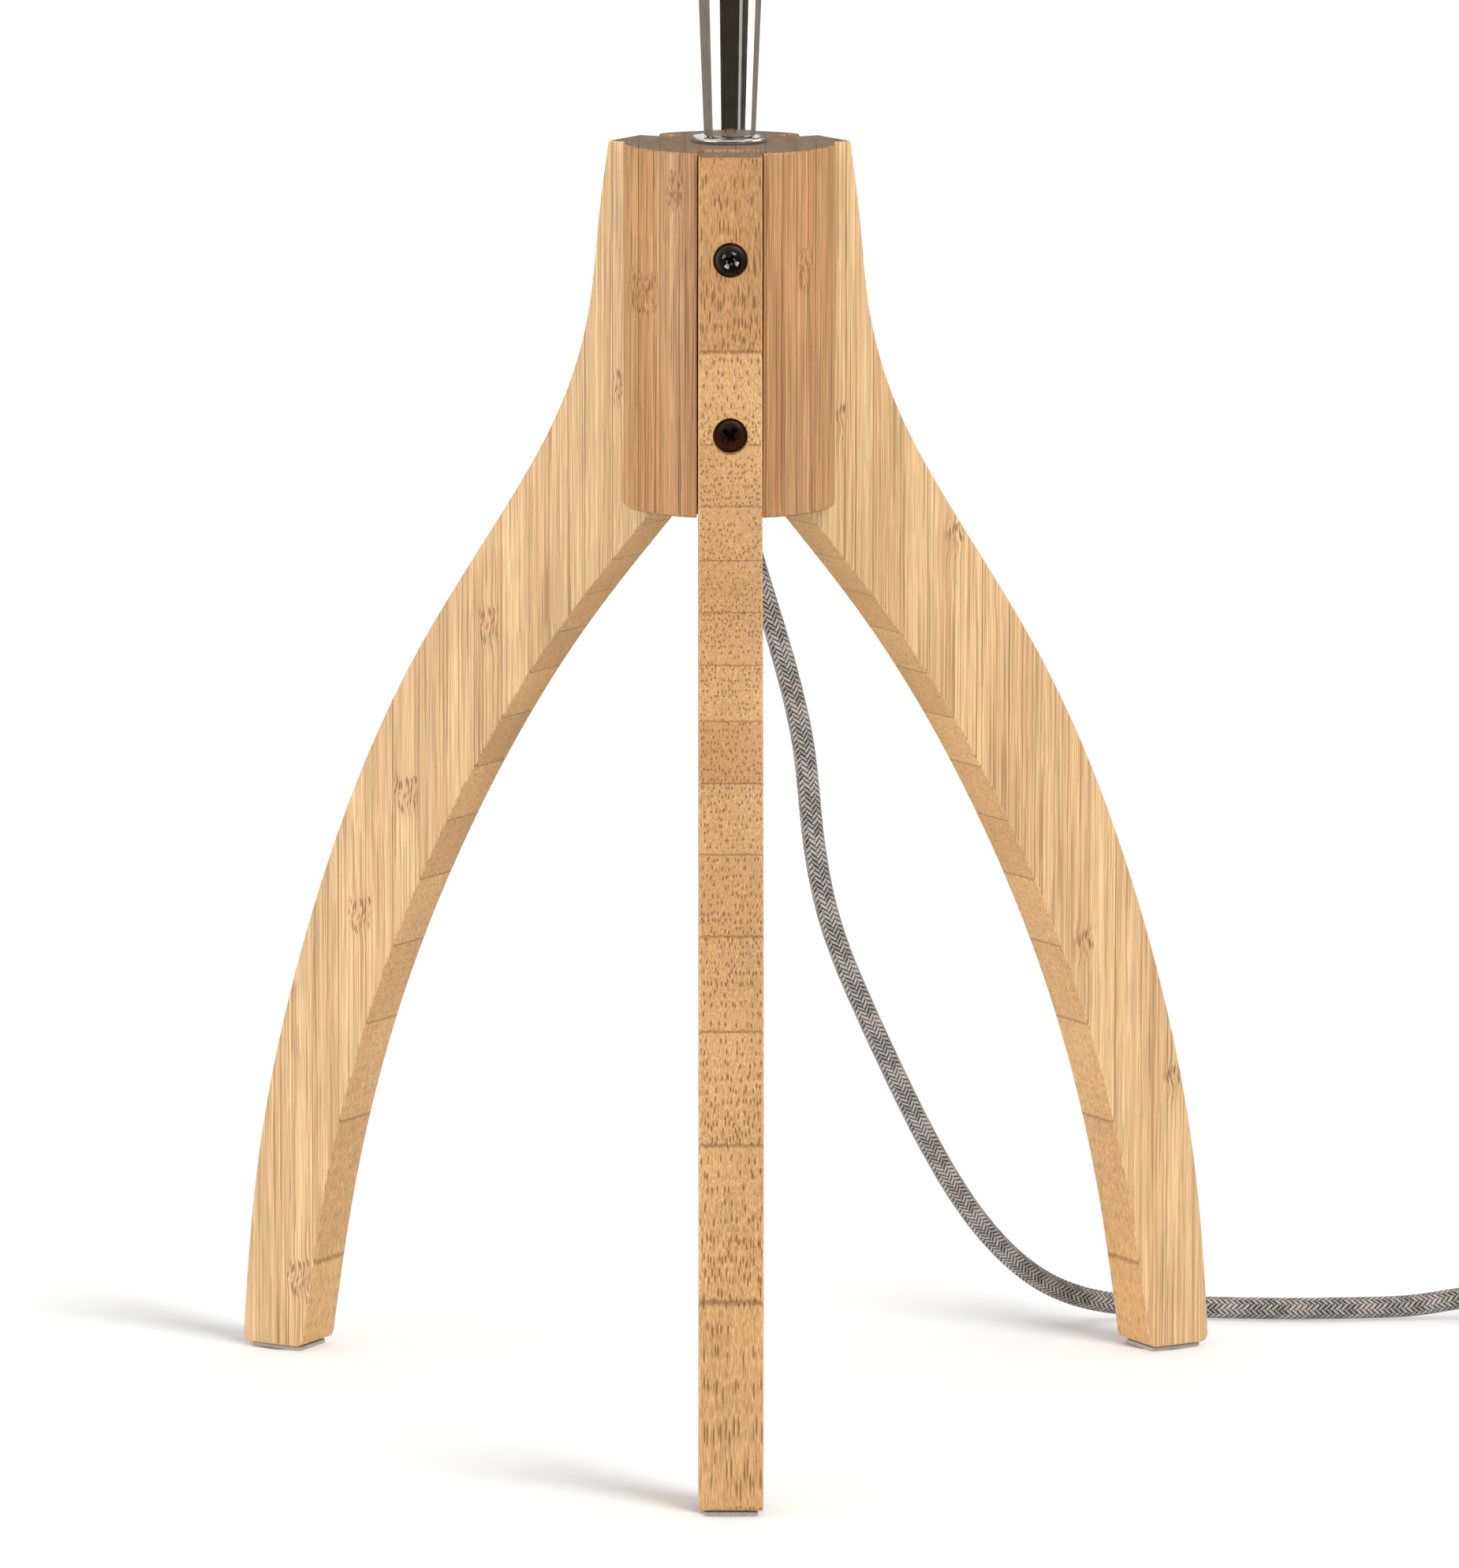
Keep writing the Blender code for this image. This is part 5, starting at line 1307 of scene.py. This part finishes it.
# ---------------------------------------------------------------- floor and light
def make_card(name, start, stop, colour, strength):
    """Curved card for the chrome to mirror, seen by nothing else: in over the floor and then upright, between
    two azimuths in degrees from the front."""
    n = Nodes(name)
    x, y = n.split(n.place())[:2]
    turn = n.math("ARCTAN2", x, y)
    lines = n.noise(n.vector(n.mul(turn, 9.0), 0.0, 0.0), 1.0, 4.0, 0.7)
    if strength <= 1.0:                  # the bright cards stay even
        colour = n.darken((*colour, 1.0), n.span(lines, 0.35, 0.65, 0.65, 1.15))
    n.set(Base_Color=(0.0, 0.0, 0.0), Roughness=1.0, Specular_IOR_Level=0.0, Emission_Strength=strength,
          Emission_Color=colour)
    profile, count = [(0.30, 0.002), (1.5, 0.002), (1.5, 2.6)], 16
    verts, faces = [], []
    for i in range(count + 1):
        a = math.radians(start + (stop - start) * i / count)
        verts += [(reach * math.sin(a), -reach * math.cos(a), z) for reach, z in profile]
    for i in range(count):
        for j in (3 * i, 3 * i + 1):
            faces.append((j, j + 3, j + 4, j + 1))
    card = from_faces(name, verts, faces)
    card.data.materials.append(n.material)
    card.visible_camera = card.visible_diffuse = card.visible_shadow = card.visible_transmission = False


def make_stage():
    """Pale floor, white surround, three broad suns and the cards that the chrome mirrors."""
    n = Nodes("floor")
    at = n.place()
    soft = n.noise(at, 0.004, 2.0)
    n.set(Base_Color=n.mix(soft, (0.877, 0.885, 0.892), (0.892, 0.90, 0.907)), Roughness=0.75)
    floor = from_faces("floor", [(-30, -30, 0), (30, -30, 0), (30, 30, 0), (-30, 30, 0)], [(0, 1, 2, 3)])
    floor.location.z = -0.0001
    floor.data.materials.append(n.material)

    world = bpy.data.worlds.new("surround")
    world.use_nodes = True
    background = world.node_tree.nodes["Background"]
    background.inputs["Color"].default_value = (1.0, 1.0, 1.0, 1.0)
    background.inputs["Strength"].default_value = 0.80
    SCENE.world = world

    # the lamp's two suns are shaded by the tripod alone, and the floor's sun by a low post at each foot, so
    # the lampshade throws no shadow
    names = ("tripod", "posts", "ground", "lamp")
    tripod, posts, ground, lamp = (bpy.data.collections.new(name) for name in names)
    for obj in list(SCENE.collection.objects):
        if obj.type == "MESH" and obj is not floor:
            lamp.objects.link(obj)
            if obj.name.startswith(("leg_", "pad_", "hub_", "screw_")):
                tripod.objects.link(obj)
    ground.objects.link(floor)
    for side, degrees in LEG_AZIMUTHS.items():
        profile = [(0.0, 0.082), (0.0085, 0.074), (0.0090, 0.0), (0.0, 0.0)]
        post = lathe(f"post_{side}", profile, steps=24, closed=False)
        post.location = rotation(degrees) @ Vector((FOOT_MIDDLE_R, 0.0, 0.001))
        post.visible_camera = post.visible_diffuse = post.visible_glossy = post.visible_transmission = False
        posts.objects.link(post)
    for name, azimuth, elevation, spread, power, receivers, blockers in (
            ("key", 44.0, 42.0, 26.0, 1.50, lamp, tripod), ("fill", -58.0, 14.0, 40.0, 1.20, lamp, tripod),
            ("floor_key", 46.0, 38.0, 24.0, 2.30, ground, posts)):
        data = bpy.data.lights.new(name, "SUN")
        data.energy = power
        data.angle = math.radians(spread)
        light = bpy.data.objects.new(name, data)
        a, e = math.radians(azimuth), math.radians(elevation)
        toward = Vector((math.sin(a) * math.cos(e), -math.cos(a) * math.cos(e), math.sin(e)))
        light.location = toward * 3.0
        light.rotation_euler = toward.to_track_quat("Z", "Y").to_euler()
        SCENE.collection.objects.link(light)
        light.light_linking.receiver_collection = receivers
        light.light_linking.blocker_collection = blockers

    for name, start, stop, colour, strength in (
            ("dark_card", -39.0, 36.0, (0.050, 0.042, 0.034), 1.0),
            ("line_card", 36.0, 47.0, (0.62, 0.60, 0.56), 1.0),
            ("dark_card_right", 47.0, 72.0, (0.080, 0.070, 0.060), 1.0),
            ("white_card_right", 72.0, 108.0, (1.0, 0.985, 0.95), 1.5),
            ("white_card_left", -82.0, -39.0, (1.0, 0.985, 0.95), 1.5),
            ("grey_card_right", 108.0, 179.0, (0.30, 0.265, 0.225), 1.0),
            ("grey_card_left", 181.0, 278.0, (0.30, 0.265, 0.225), 1.0)):
        make_card(name, start, stop, colour, strength)
    SCENE.view_settings.view_transform = "Standard"


for make in (make_hub, make_legs, make_leg_screws, make_foot_pads, make_stem, make_lampholder, make_bulb,
             make_shade, make_boot, make_switch, make_plug, make_tie, make_cord, finish_cad_nodes,
             make_stage):
    make()
